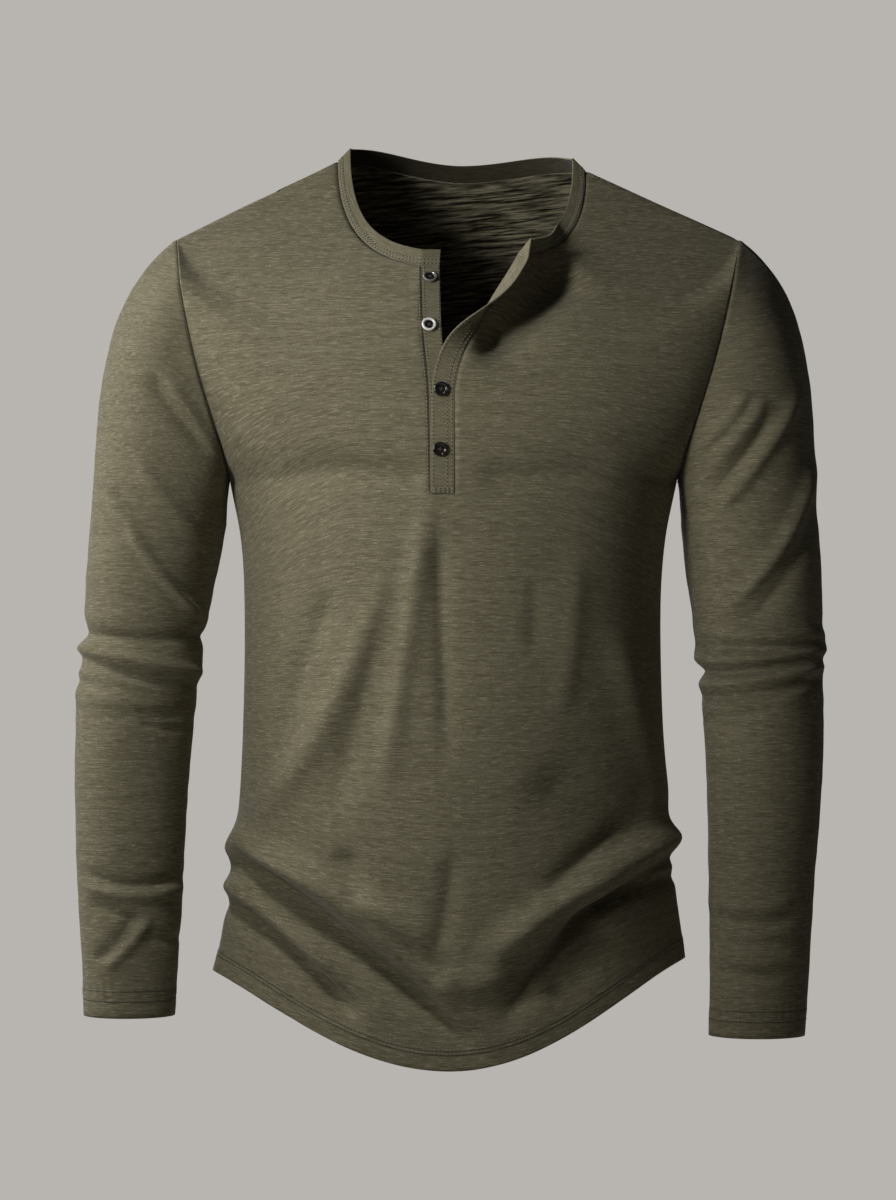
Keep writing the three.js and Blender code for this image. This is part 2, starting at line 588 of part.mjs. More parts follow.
// Under strip of the placket: lies on from the wearer's right side of the slit, dipping in
function underStrip(front) {
  return front.slice(PLACKET_ROW).map((row) => {
    const root = row[COLUMNS.front].point;
    const strip = [];
    for (let c = 0; c <= COLUMNS.strip; c += 1) {
      const across = c / COLUMNS.strip;
      strip.push({
        point: root.clone().add(vec(PLACKET_UNDER_WIDTH * across, UNDER_DIP * across, 0)),
      });
    }
    return strip;
  });
}

// Over strip: from the wearer's left side of the slit, shut below and turned out above
function overStrip(front) {
  const roots = front.slice(PLACKET_ROW).map((row) => row[COLUMNS.front + COLUMNS.slit].point);
  return roots.map((root, r) => {
    const above = roots[Math.min(r + 1, roots.length - 1)];
    const below = roots[Math.max(r - 1, 0)];
    const along = vec(above.x - below.x, 0, above.z - below.z).normalize();
    const aside = vec(-along.z, 0, along.x);
    const open = openness(root.z);
    const turn = degToRad(OPENED.turn) * smooth((open - 0.1) * 1.25);
    const shut = 1 - smooth((open - 0.1) * 4);
    const strip = [];
    for (let c = 0; c <= COLUMNS.strip; c += 1) {
      const across = c / COLUMNS.strip;
      const reach = PLACKET_OVER_WIDTH * across;
      const point = root.clone()
        .addScaledVector(aside, reach * Math.cos(turn))
        .add(vec(0, -reach * Math.sin(turn) - OVER_LIFT * across * shut, 0));
      strip.unshift({ point });
    }
    return strip;
  });
}

// Neckband: stands on the neck seam, its ends on the tops of the two strips
function neckband(front, back, under, over) {
  const seam = [];
  const { front: half, slit } = COLUMNS;
  // from the free end of the under strip, round the back, to the free end of the over strip
  const topUnder = under.at(-1);
  const topOver = over.at(-1);
  const neckFront = front[NECK_ROW];
  for (let c = COLUMNS.strip; c > 0; c -= 1) seam.push({ base: topUnder[c].point, part: 'under' });
  for (let c = half; c >= 0; c -= 1) seam.push({ base: neckFront[c].point, part: 'right' });
  for (let c = COLUMNS.back - 1; c > 0; c -= 1) seam.push({ base: back[NECK_ROW][c].point, part: 'back' });
  for (let c = 2 * half + slit; c >= half + slit; c -= 1) {
    seam.push({ base: neckFront[c].point, part: 'left' });
  }
  for (let c = COLUMNS.strip - 1; c >= 0; c -= 1) {
    seam.push({ base: topOver[c].point, part: 'over', out: 1 - c / COLUMNS.strip });
  }
  const middle = FRONT_LINE.at(-1).x;
  // the band leans in towards the neck, and near the opened slit it leans back out
  const rise = ({ base, part, out = 0 }) => {
    const depth = Math.abs(FRONT_LINE.at(-1).y);
    const inward = vec((middle - base.x) / NECK_HALF, (NECK_POINT.left.y - base.y) / depth, 0);
    const lean = LEAN.middle + LEAN.sides * Math.min(inward.x ** 2, 1);
    const usual = inward.setLength(lean).add(vec(0, 0, Math.sqrt(1 - lean * lean)));
    const nearSlit = part === 'left' ? smooth((TURNED_BACK.from - base.x) / TURNED_BACK.over) : 0;
    const turned = part === 'over' ? 1 : nearSlit;
    const folded = vec(TURNED_BACK.x - 0.5 * out, TURNED_BACK.y - 0.3 * out, TURNED_BACK.z).normalize();
    const width = BAND_WIDTH + TURNED_BACK.wider * turned;
    return usual.lerp(folded, turned).setLength(width);
  };
  const low = seam.map(({ base }) => ({ point: base }));
  const high = seam.map((place) => ({ point: place.base.clone().add(rise(place)) }));
  // points run to the right as they are seen from outside, round the neck
  return [low.reverse(), high.reverse()];
}

// A button, turned on a lathe: flat back, raised rim, dished middle
function buttonGeometry() {
  const r = BUTTON_RADIUS;
  const h = BUTTON_HEIGHT;
  const back = [[0, 0], [r - 0.6, 0], [r, 0.6], [r, h - 0.7]];
  const face = [[r - 0.6, h], [r - 1.6, h], [r - 2.4, h - 0.9], [0, h - 1.2]];
  const profile = [...back, ...face].map(([x, y]) => new THREE.Vector2(x, y));
  return new THREE.LatheGeometry(profile, BUTTON_SIDES);
}

// The place on a strip that a button is sewn to, and the way that it faces
function placeOnStrip(strip, x, z) {
  const side = strip.map((row) => row[0].point);
  let r = 0;
  while (r < side.length - 2 && side[r + 1].z < z) r += 1;
  const t = clamp((z - side[r].z) / (side[r + 1].z - side[r].z), 0, 1);
  const a = side[r].clone().lerp(side[r + 1], t);
  const b = strip[r].at(-1).point.clone().lerp(strip[r + 1].at(-1).point, t);
  const point = a.clone().lerp(b, clamp((x - a.x) / (b.x - a.x), 0, 1));
  const along = side[r + 1].clone().sub(side[r]);
  const facing = b.clone().sub(a).cross(along).normalize();
  return { point, facing };
}

function button({ name, x, z, strip }, strips) {
  const { point, facing } = placeOnStrip(strips[strip], x, z);
  const mesh = new THREE.Mesh(buttonGeometry(), BUTTON_RESIN);
  mesh.name = name;
  mesh.position.copy(point).addScaledVector(facing, BUTTON_GAP);
  mesh.quaternion.setFromUnitVectors(vec(0, 1, 0), facing);
  return mesh;
}

// The panels and the sleeves, smooth first, then with their folds
const front = { name: 'front_panel', grid: frontGrid(), wall: WALL, material: JERSEY };
const back = { name: 'back_panel', grid: backGrid(), wall: WALL, material: JERSEY };
front.missing = (r, c) => r >= PLACKET_ROW && c >= COLUMNS.front && c < COLUMNS.front + COLUMNS.slit;

// Points of an armhole, from the shoulder down the front to the armpit and up the back
function armholePoints(side) {
  const frontColumn = side === 'left' ? front.grid[0].length - 1 : 0;
  const backColumn = side === 'left' ? 0 : COLUMNS.back;
  const points = [];
  for (let r = SHOULDER_ROW; r > ARMPIT_ROW; r -= 1) points.push(front.grid[r][frontColumn].point);
  for (let r = ARMPIT_ROW; r < SHOULDER_ROW; r += 1) points.push(back.grid[r][backColumn].point);
  return points;
}

const sleeve = (side) => ({
  name: `sleeve_${side}`,
  grid: sleeveGrid(side, armholePoints(side)),
  closed: true,
  wall: WALL,
  material: JERSEY,
});
const sleeveRight = sleeve('right');
const sleeveLeft = sleeve('left');

const body = [front, back, sleeveRight, sleeveLeft];
const bodyFolds = { front: FRONT_FOLDS, back: BACK_FOLDS };
const smoothNormals = sharedNormals(body);
layFolds(front.grid, bodyFolds, smoothNormals[0]);
layFolds(back.grid, bodyFolds, smoothNormals[1]);
layFolds(sleeveRight.grid, RIGHT_SLEEVE_FOLDS, smoothNormals[2]);
layFolds(sleeveLeft.grid, LEFT_SLEEVE_FOLDS, smoothNormals[3]);

const strips = { under: underStrip(front.grid), over: overStrip(front.grid) };
const bandGrid = neckband(front.grid, back.grid, strips.under, strips.over);
const pieces = [
  ...body,
  { name: 'placket_under', grid: strips.under, wall: STRIP_WALL, material: JERSEY_STRIP },
  { name: 'placket_over', grid: strips.over, wall: STRIP_WALL, material: JERSEY_STRIP },
  { name: 'neckband', grid: bandGrid, wall: WALL, material: JERSEY_STRIP },
];
const normals = sharedNormals(pieces);

const group = new THREE.Group();
pieces.forEach((piece, i) => {
  const mesh = new THREE.Mesh(clothWall(piece, normals[i]), piece.material);
  mesh.name = piece.name;
  group.add(mesh);
});
for (const row of BUTTONS) group.add(button(row, strips));

export default group;
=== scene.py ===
# %% [markdown]
# # A henley shirt, filled out as if worn
# This lesson dresses a measured model of a long-sleeved henley shirt. The measured model is
# the frame: it says where each cut piece of cloth lies. Around it we lay thin jersey, sew it,
# button it and light it. All lengths in the tables are millimetres, and Blender gets metres.

# %% Load the measured model
import math

import bmesh
import bpy
import numpy as np
from mathutils import Matrix, Vector, noise


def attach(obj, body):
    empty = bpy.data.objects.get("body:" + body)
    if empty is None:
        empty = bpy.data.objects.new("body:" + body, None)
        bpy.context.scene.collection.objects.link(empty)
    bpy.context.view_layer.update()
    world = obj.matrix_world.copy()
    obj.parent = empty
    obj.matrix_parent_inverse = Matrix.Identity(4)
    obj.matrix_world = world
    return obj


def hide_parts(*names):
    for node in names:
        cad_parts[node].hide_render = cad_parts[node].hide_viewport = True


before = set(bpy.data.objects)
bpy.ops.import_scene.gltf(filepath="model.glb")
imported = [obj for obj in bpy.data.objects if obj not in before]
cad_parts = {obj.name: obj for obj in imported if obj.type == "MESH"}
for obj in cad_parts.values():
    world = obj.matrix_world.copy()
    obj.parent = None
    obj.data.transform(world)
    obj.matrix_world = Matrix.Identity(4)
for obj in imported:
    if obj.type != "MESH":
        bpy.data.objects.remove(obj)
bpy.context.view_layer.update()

MM = 0.001
print("cut pieces in the model:", ", ".join(sorted(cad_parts)))

# %% [markdown]
# ## Tables and the curves through them
# A pattern cutter writes a shirt down as a few widths at a few heights, and joins them with a
# curved ruler. We do the same: each table has named columns, and `read` draws a smooth curve
# through one column. A spline object could do it too, but a table is easier to change.

# %% Tables and smooth curves
def table(names, *rows):
    return dict(zip(names.split(), np.array(rows, float).T))


def smooth(t):
    t = np.clip(t, 0.0, 1.0)
    return t * t * (3 - 2 * t)


def lerp(a, b, t):
    return a + (b - a) * t


def hermite(start, start_slope, end, end_slope, t):
    t2, t3 = t * t, t * t * t
    return ((2 * t3 - 3 * t2 + 1) * start + (t3 - 2 * t2 + t) * start_slope
            + (3 * t2 - 2 * t3) * end + (t3 - t2) * end_slope)


def read(rows, key, at, column):
    """A smooth curve through one column of a table, read at places in its key column."""
    keys, values = rows[key], rows[column]
    last = len(keys) - 1
    before, after = np.maximum(np.arange(last + 1) - 1, 0), np.minimum(np.arange(last + 1) + 1, last)
    slopes = (values[after] - values[before]) / (keys[after] - keys[before])
    at = np.clip(at, keys[0], keys[-1])
    i = np.clip(np.searchsorted(keys, at, side="right") - 1, 0, last - 1)
    width = keys[i + 1] - keys[i]
    return hermite(values[i], slopes[i] * width, values[i + 1], slopes[i + 1] * width,
                   (at - keys[i]) / width)


def points(x, y, z):
    return np.stack(np.broadcast_arrays(x, y, z), axis=-1).astype(float)


print("halfway between 0 and 10, smoothly:", lerp(0, 10, smooth(0.5)))

# %% [markdown]
# ## The body of the shirt
# A worn shirt is a tube that bulges over the chest and the shoulder blades. Each level of the
# front and of the back is half an oval, from one side seam to the other. The columns give the
# middle of that half oval, and the angle that it turns through: 90 is a full half oval, and a
# smaller angle leaves it flatter, as where the panel ends at the armhole.

# %% Measurements of the body
HEM, SWAGS, PLACKET, ARMPIT, SHOULDER, NECK = 0.0, 0.27, 0.6, 0.62, 0.86, 1.0
ARMPIT_Z = -264
NECK_HALF = 99
FRONT_LINE = table(
    "v x y z arc",
    (0.00, 1.0, -98, -725, 90), (0.15, 2.0, -104, -613, 90), (0.30, 3.0, -105, -502, 90),
    (0.45, 4.0, -107, -390, 90), (0.60, 4.5, -112, -278, 90), (0.65, 4.5, -115, -246, 80),
    (0.70, 5.0, -114, -220, 68), (0.75, 5.5, -110, -196, 62), (0.80, 6.0, -104, -172, 63),
    (0.86, 7.5, -94, -146, 76), (0.93, 9.0, -80, -121, 84), (1.00, 11.0, -66, -100, 90))
BACK_LINE = table(
    "v x y z arc",
    (0.00, 1.0, 100, -735, 90), (0.15, 2.0, 106, -618, 90), (0.30, 3.0, 98, -502, 90),
    (0.42, 4.0, 88, -405, 90), (0.60, 4.5, 102, -268, 90), (0.68, 5.0, 108, -210, 74),
    (0.75, 5.5, 109, -160, 62), (0.80, 6.0, 106, -124, 62), (0.86, 7.5, 94, -84, 74),
    (0.93, 9.0, 76, -48, 84), (1.00, 11.0, 62, -19.5, 90))
SIDE_SEAM = table(
    "z right left y",
    (-656, 189, 191, 12), (-632, 183, 188, 12), (-600, 178, 184, 11), (-568, 174, 180, 10),
    (-520, 167, 175, 9), (-440, 163, 171, 8), (-360, 163, 170, 8), (-310, 166, 174, 7),
    (-264, 175, 184, 6))
ARMHOLE = table(
    "t z middle half front back",
    (0.00, -264, 4.5, 179.5, 6, 6), (0.12, -250, 4.7, 181.5, -28, 38), (0.27, -222, 5, 189, -48, 60),
    (0.51, -168, 5.5, 205, -54, 72), (0.77, -113, 6.5, 217.5, -40, 54), (1.00, -71, 8, 225, 2, 2))
SLIT = table(
    "z right left",
    (-278, -13.5, 5), (-200, -15, 5), (-150, -19.5, 5), (-100, -21, 5))
SIDES = {
    "right": {"sign": -1, "hem": -656, "neck": (4, -8), "sleeve": 388},
    "left": {"sign": 1, "hem": -646, "neck": (4, -16), "sleeve": 404},
}
LINES = {"front": FRONT_LINE, "back": BACK_LINE}
BACK_NECK_CREST = 4
print("the body is", SIDE_SEAM["right"][-1] + SIDE_SEAM["left"][-1], "mm wide under the arms")

# %% [markdown]
# ## From a level and a place across to a point in the room
# `v` runs up a panel from 0 at the hem to 1 at the neck seam, and `u` runs across it from -1 at
# the wearer's right edge to 1 at the left. The edge of a panel is its side seam, then the
# armhole, then the shoulder seam. The front and the back share these edges, point for point,
# so the two panels meet all along with no fitting.

# %% Panel surfaces
def panel_edge(face, side, v):
    sign, neck = SIDES[side]["sign"], SIDES[side]["neck"]
    z = lerp(SIDES[side]["hem"], ARMPIT_Z, v / ARMPIT)
    seam = points(sign * read(SIDE_SEAM, "z", z, side), read(SIDE_SEAM, "z", z, "y"), z)
    t = np.clip((v - ARMPIT) / (SHOULDER - ARMPIT), 0, 1)
    hole = points(read(ARMHOLE, "t", t, "middle") + sign * read(ARMHOLE, "t", t, "half"),
                  read(ARMHOLE, "t", t, face), read(ARMHOLE, "t", t, "z"))
    across = np.maximum(v - SHOULDER, 0) / (NECK - SHOULDER)
    collar = np.array([FRONT_LINE["x"][-1] + sign * NECK_HALF, *neck])
    return np.where((v <= ARMPIT)[:, None], seam, lerp(hole, collar, across[:, None]))


def levels(face, v):
    """The middle, both edges and the angle of each row, one row for each v."""
    line = LINES[face]
    return {
        "face": face,
        "v": v[:, None],
        "middle": points(*(read(line, "v", v, k) for k in "xyz"))[:, None],
        "right": panel_edge(face, "right", v)[:, None],
        "left": panel_edge(face, "left", v)[:, None],
        "arc": np.radians(read(line, "v", v, "arc"))[:, None],
    }


def on_rows(rows, u):
    """Points of the rows at the places u, which has one line of places for each row."""
    edge = np.where((u < 0)[..., None], rows["right"], rows["left"])
    q = np.abs(u)
    hem_rise = 1 - np.cos(q * np.pi / 2) ** 3
    front = rows["face"] == "front"
    neck_rise = q ** 2.45 if front else np.sin(q * np.pi / 2) ** 1.6
    rise = lerp(hem_rise, neck_rise, smooth((rows["v"] - 0.3) / 0.3))
    crest = 0 if front else BACK_NECK_CREST * np.sin(q * np.pi) ** 2
    arc, middle = rows["arc"], rows["middle"]
    return points(
        lerp(middle[..., 0], edge[..., 0], np.sin(q * arc) / np.sin(arc)),
        lerp(middle[..., 1], edge[..., 1], (1 - np.cos(q * arc)) / (1 - np.cos(arc))),
        lerp(middle[..., 2], edge[..., 2], rise)
        + crest * smooth((rows["v"] - SHOULDER) / (NECK - SHOULDER)))


def place_of(rows, x):
    """The place u where each row crosses x."""
    middle = rows["middle"][..., 0]
    edge = np.where(x < middle, rows["right"][..., 0], rows["left"][..., 0])
    share = np.clip((x - middle) / (edge - middle), 0, 1)
    return np.sign(x - middle) * np.arcsin(share * np.sin(rows["arc"])) / rows["arc"]


test_rows = levels("front", np.array([0.0, 0.6, 1.0]))
print("middle of the front at hem, placket and neck:\n", on_rows(test_rows, np.zeros((3, 1)))[:, 0])

# %% [markdown]
# ## The opened neck
# The two top buttons are undone, so above the third button the wearer's left side of the slit
# slides away, lifts off the chest and turns its edge out like a lapel. Cloth simulation would
# find some such shape, but not this one, so the slide, the lift and the turn are worked out
# from how far up the opening a point lies.

# %% Opening of the slit
OPENED = {"from": -202, "to": -94, "slide": 55, "raise": 18, "lift": 6, "reach": 26, "turn": 121}


def openness(z):
    return np.clip((z - OPENED["from"]) / (OPENED["to"] - OPENED["from"]), 0, 1)


def front_surface(v, u):
    rows = levels("front", v)
    shut = on_rows(rows, u)
    height = rows["middle"][..., 2]
    slit = read(SLIT, "z", height, "left")
    slide = OPENED["slide"] * openness(height) ** 1.7
    slit_place = place_of(rows, slit)
    from_slit = np.clip((u - slit_place) / (1 - slit_place), 0, 1)
    slid = place_of(rows, shut[..., 0] + slide * (1 - from_slit) ** 1.6)
    moved = on_rows(rows, slid)
    near = np.exp(-(((moved[..., 0] - slit - slide) / OPENED["reach"]) ** 2))
    moved[..., 1] -= OPENED["raise"] * openness(height) ** 1.3 * near
    moved[..., 2] += OPENED["lift"] * openness(height) ** 3 * near
    moves = (u >= slit_place - 1e-9) & (u < 1) & (height >= OPENED["from"])
    return np.where(moves[..., None], moved, shut)


# %% [markdown]
# ## Rows and columns
# Cloth needs small faces, about 3 mm, or its folds come out as facets. The columns crowd
# together beside every seam, because the dark groove of a seam is hardly a millimetre wide.

# %% Grids of the front and the back
def spread(*stops):
    """Places from stop to stop, with a count after each stop: 0, 3, 1 gives 0, 1/3, 2/3, 1."""
    out = [stops[0]]
    for start, count, end in zip(stops[0::2], stops[1::2], stops[2::2]):
        out += list(lerp(start, end, np.arange(1, count + 1) / count))
    return np.array(out)


ROWS = spread(HEM, 3, 0.006, 6, 0.026, 52, SWAGS, 68, PLACKET, 5, ARMPIT, 64, SHOULDER,
              36, 0.985, 4, NECK)
PLACKET_ROW, ARMPIT_ROW, SHOULDER_ROW = (
    int(np.argmin(abs(ROWS - at))) for at in (PLACKET, ARMPIT, SHOULDER))
EDGE = (0.0, 4, 0.018)
HALF = spread(*EDGE, 54, 1.0)
SLIT_COLUMNS = 5

front_rows = levels("front", ROWS)
slit_right = place_of(front_rows, read(SLIT, "z", front_rows["middle"][..., 2], "right"))
slit_left = place_of(front_rows, read(SLIT, "z", front_rows["middle"][..., 2], "left"))
front_u = np.hstack([
    lerp(-1, slit_right, HALF[None]),
    lerp(slit_right, slit_left, np.arange(1, SLIT_COLUMNS)[None] / SLIT_COLUMNS),
    lerp(slit_left, 1, 1 - HALF[::-1][None]),
])
BACK_PLACES = spread(1, 4, 0.982, 104, -0.982, 4, -1)
back_u = np.repeat(BACK_PLACES[None], len(ROWS), axis=0)
RIGHT_ROOT = len(HALF) - 1
LEFT_ROOT = RIGHT_ROOT + SLIT_COLUMNS

calm = {"front": front_surface(ROWS, front_u), "back": on_rows(levels("back", ROWS), back_u)}
sewn_edge = (ROWS < ARMPIT + 1e-6) | (ROWS > SHOULDER - 1e-6)
calm["back"][sewn_edge, 0] = calm["front"][sewn_edge, -1]
calm["back"][sewn_edge, -1] = calm["front"][sewn_edge, 0]
print("grid of the front:", calm["front"].shape[:2], "and of the back:", calm["back"].shape[:2])

# %% [markdown]
# ## The sleeves
# A set-in sleeve is a tapering tube whose top, the cap, curves out of the armhole. The tube is
# a pile of oval rings. Between the top ring and the armhole each point follows its own curve,
# which leaves the armhole at right angles at the shoulder and almost straight down at the
# armpit. The grid starts and ends at the underarm, where the real sleeve has its seam.

# %% Sleeve surfaces
SLEEVE = table(
    "down nearRight farRight nearLeft farLeft deep y",
    (0.00, 178.5, 284, 187, 295, 60, 8), (0.08, 184, 288, 190, 298, 57, 8),
    (0.16, 190, 291, 195, 300, 55, 8), (0.26, 197, 292, 200, 300, 51, 4),
    (0.36, 201, 296, 203, 300, 49, -4), (0.52, 206, 297, 206, 297, 44, -12),
    (0.70, 210, 295, 207, 291, 39, -20), (0.86, 213, 291, 208, 287, 35, -27),
    (1.00, 216, 288, 207, 282, 32, -32))
SLEEVE_TOP_Z = -300
SLEEVE_TILT = 38
CAP = {"out": 4, "out_top": 188, "down": 25, "down_top": 112, "forward": 30,
       "end_down": 30, "end_top": 120, "end_out": 12}
DOWNS = spread(1.0, 8, 0.93, 60, 0.5, 78, 0.12, 14, 0.0)
CAP_STEPS = spread(0.0, 38, 0.96, 4, 1.0)[1:]


def sleeve_surface(side):
    """Rows from the cuff up to the armhole, each from the underarm up the back and down the front."""
    sign = SIDES[side]["sign"]
    near, far = ("nearLeft", "farLeft") if sign > 0 else ("nearRight", "farRight")
    front_edge, back_edge = (-1, 0) if sign > 0 else (0, -1)
    hole_rows = slice(ARMPIT_ROW, SHOULDER_ROW + 1)
    up_back = calm["back"][hole_rows, back_edge]
    up_front = calm["front"][hole_rows, front_edge]
    armhole = np.vstack([up_back, up_front[-2::-1]])
    t = (ROWS[hole_rows] - ARMPIT) / (SHOULDER - ARMPIT)
    angle = np.pi * np.concatenate([1 + t, 1 + t[-1] + (1 - t[-2::-1])])
    down = DOWNS[:, None]
    inner, outer = read(SLEEVE, "down", down, near), read(SLEEVE, "down", down, far)
    tilt = SLEEVE_TILT * np.maximum(0, 1 - down / 0.25) ** 2
    rings = points(
        sign * (inner + outer + (outer - inner) * np.cos(angle)) / 2,
        read(SLEEVE, "down", down, "y") - read(SLEEVE, "down", down, "deep") * np.sin(angle),
        SLEEVE_TOP_Z - SIDES[side]["sleeve"] * down + tilt * (1 + np.cos(angle)) / 2)
    top = (1 + np.cos(angle)) / 2
    out = CAP["out"] + CAP["out_top"] * top ** 1.1
    leave = points(sign * out, -CAP["forward"] * np.sin(angle), -CAP["down"] - CAP["down_top"] * top)
    arrive = points(sign * CAP["end_out"] * top, 0, -CAP["end_down"] - CAP["end_top"] * top)
    fall = ((1 - CAP_STEPS) ** 1.15)[:, None, None]
    cap = hermite(armhole[None], leave[None], rings[-1][None], arrive[None], fall)
    cap[-1] = armhole
    grid = np.vstack([rings, cap])
    grid[:, -1] = grid[:, 0]
    # seen from outside, the columns of either sleeve run to the right
    return (grid[:, ::-1], angle[::-1]) if sign > 0 else (grid, angle)


angles = {}
for side in SIDES:
    calm["sleeve_" + side], angles[side] = sleeve_surface(side)
    print("sleeve", side, "is a grid of", calm["sleeve_" + side].shape[:2])

# %% [markdown]
# ## Folds
# Worn jersey hangs in soft ridges and troughs: swags round the shirt-tail, long folds from the
# end of the placket, crushed rings at the elbows, rays from the armpits. A sculptor would push
# them in by hand. Here each fold is one row of a table: a curve through three places, as the
# front view shows it, with a height (below zero for a trough) and a half width. A trough is
# given a sharper bottom than a ridge has a top, which is how knitted cloth folds. `steep`
# makes one flank steeper: above zero the flank on the left hand when walking along the fold.
# The solid model has a thick wall, so its folds are calm. Cloth is thin, and takes the same folds
# deeper and narrower.

# %% Fold tables of the body
FOLD = "x0 z0 x1 z1 x2 z2 rise half steep"
FRONT_FOLDS = table(
    FOLD,
    # shirt-tail swags
    (-230, -547, -106, -577, 13, -647, 7, 13, 0), (20, -650, 112, -580, 241, -531, 8, 14, 0),
    (-12, -646, 18, -656, 48, -642, 4, 14, 0), (-215, -542, -90, -618, 30, -704, -6, 12, 0),
    (-190, -542, -84, -620, 44, -728, -7, 6.5, 0), (-184, -532, -74, -606, 50, -714, 4, 8, 0),
    (215, -548, 104, -614, 42, -698, -8, 12, 0), (128, -606, 100, -640, 78, -676, -7, 16, 0),
    (200, -560, 118, -602, 70, -670, -4, 5, 0), (70, -596, 108, -562, 156, -532, -4, 10, 0),
    (-222, -576, -139, -605, -70, -680, 6, 10, 0), (-205, -592, -127, -634, -62, -694, -5, 9, 0),
    (-190, -590, -127, -630, -68, -690, -5, 5, 0),
    (248, -567, 163, -575, 90, -610, 6, 9, 0), (240, -584, 150, -587, 90, -622, -5, 8, 0),
    # long folds below the placket
    (-12, -272, -30, -381, -52, -530, 3, 10, 0), (-28, -290, -60, -410, -94, -545, -4, 13, 0),
    (-22, -280, -85, -437, -165, -547, 4, 14, 0), (-84, -345, -114, -410, -142, -500, -3.5, 14, 0),
    (-6, -300, -4, -391, 2, -500, -3.5, 8, 0), (4, -545, -1, -600, -12, -640, -3, 9, 0),
    (-84, -552, -76, -575, -66, -600, -3, 11, 0), (98, -315, 96, -391, 84, -460, 1.5, 11, 0),
    (66, -340, 68, -370, 66, -410, -1.5, 8, 0), (168, -540, 118, -528, 60, -486, -4.5, 30, 0),
    (128, -370, 154, -465, 182, -545, 3, 14, 0),
    # under the chest
    (-135, -258, -60, -260, -14, -270, -3, 14, 0), (20, -266, 70, -262, 140, -256, -2.5, 15, 0),
    # pocket behind the turned-out placket
    (100, -92, 66, -130, 18, -178, -15, 18, 0))
BACK_FOLDS = table(
    FOLD,
    (-230, -547, -100, -585, 30, -640, 6, 14, 0), (-10, -636, 110, -580, 241, -531, 7, 15, 0),
    (-215, -566, -110, -618, 10, -688, -6, 12, 0), (215, -552, 115, -608, 30, -676, -6, 13, 0),
    (-222, -588, -130, -600, -60, -632, 4, 10, 0), (248, -572, 160, -590, 80, -630, 4, 10, 0),
    (-60, -300, -74, -390, -50, -500, 3, 14, 0), (50, -290, 70, -390, 96, -520, 3.5, 15, 0),
    (2, -330, 8, -420, -4, -520, -4, 16, 0), (-150, -380, -90, -440, -20, -470, -3, 14, 0),
    (-160, -190, -90, -215, -30, -280, -2.5, 14, 0), (168, -186, 104, -220, 50, -290, -2.5, 14, 0))

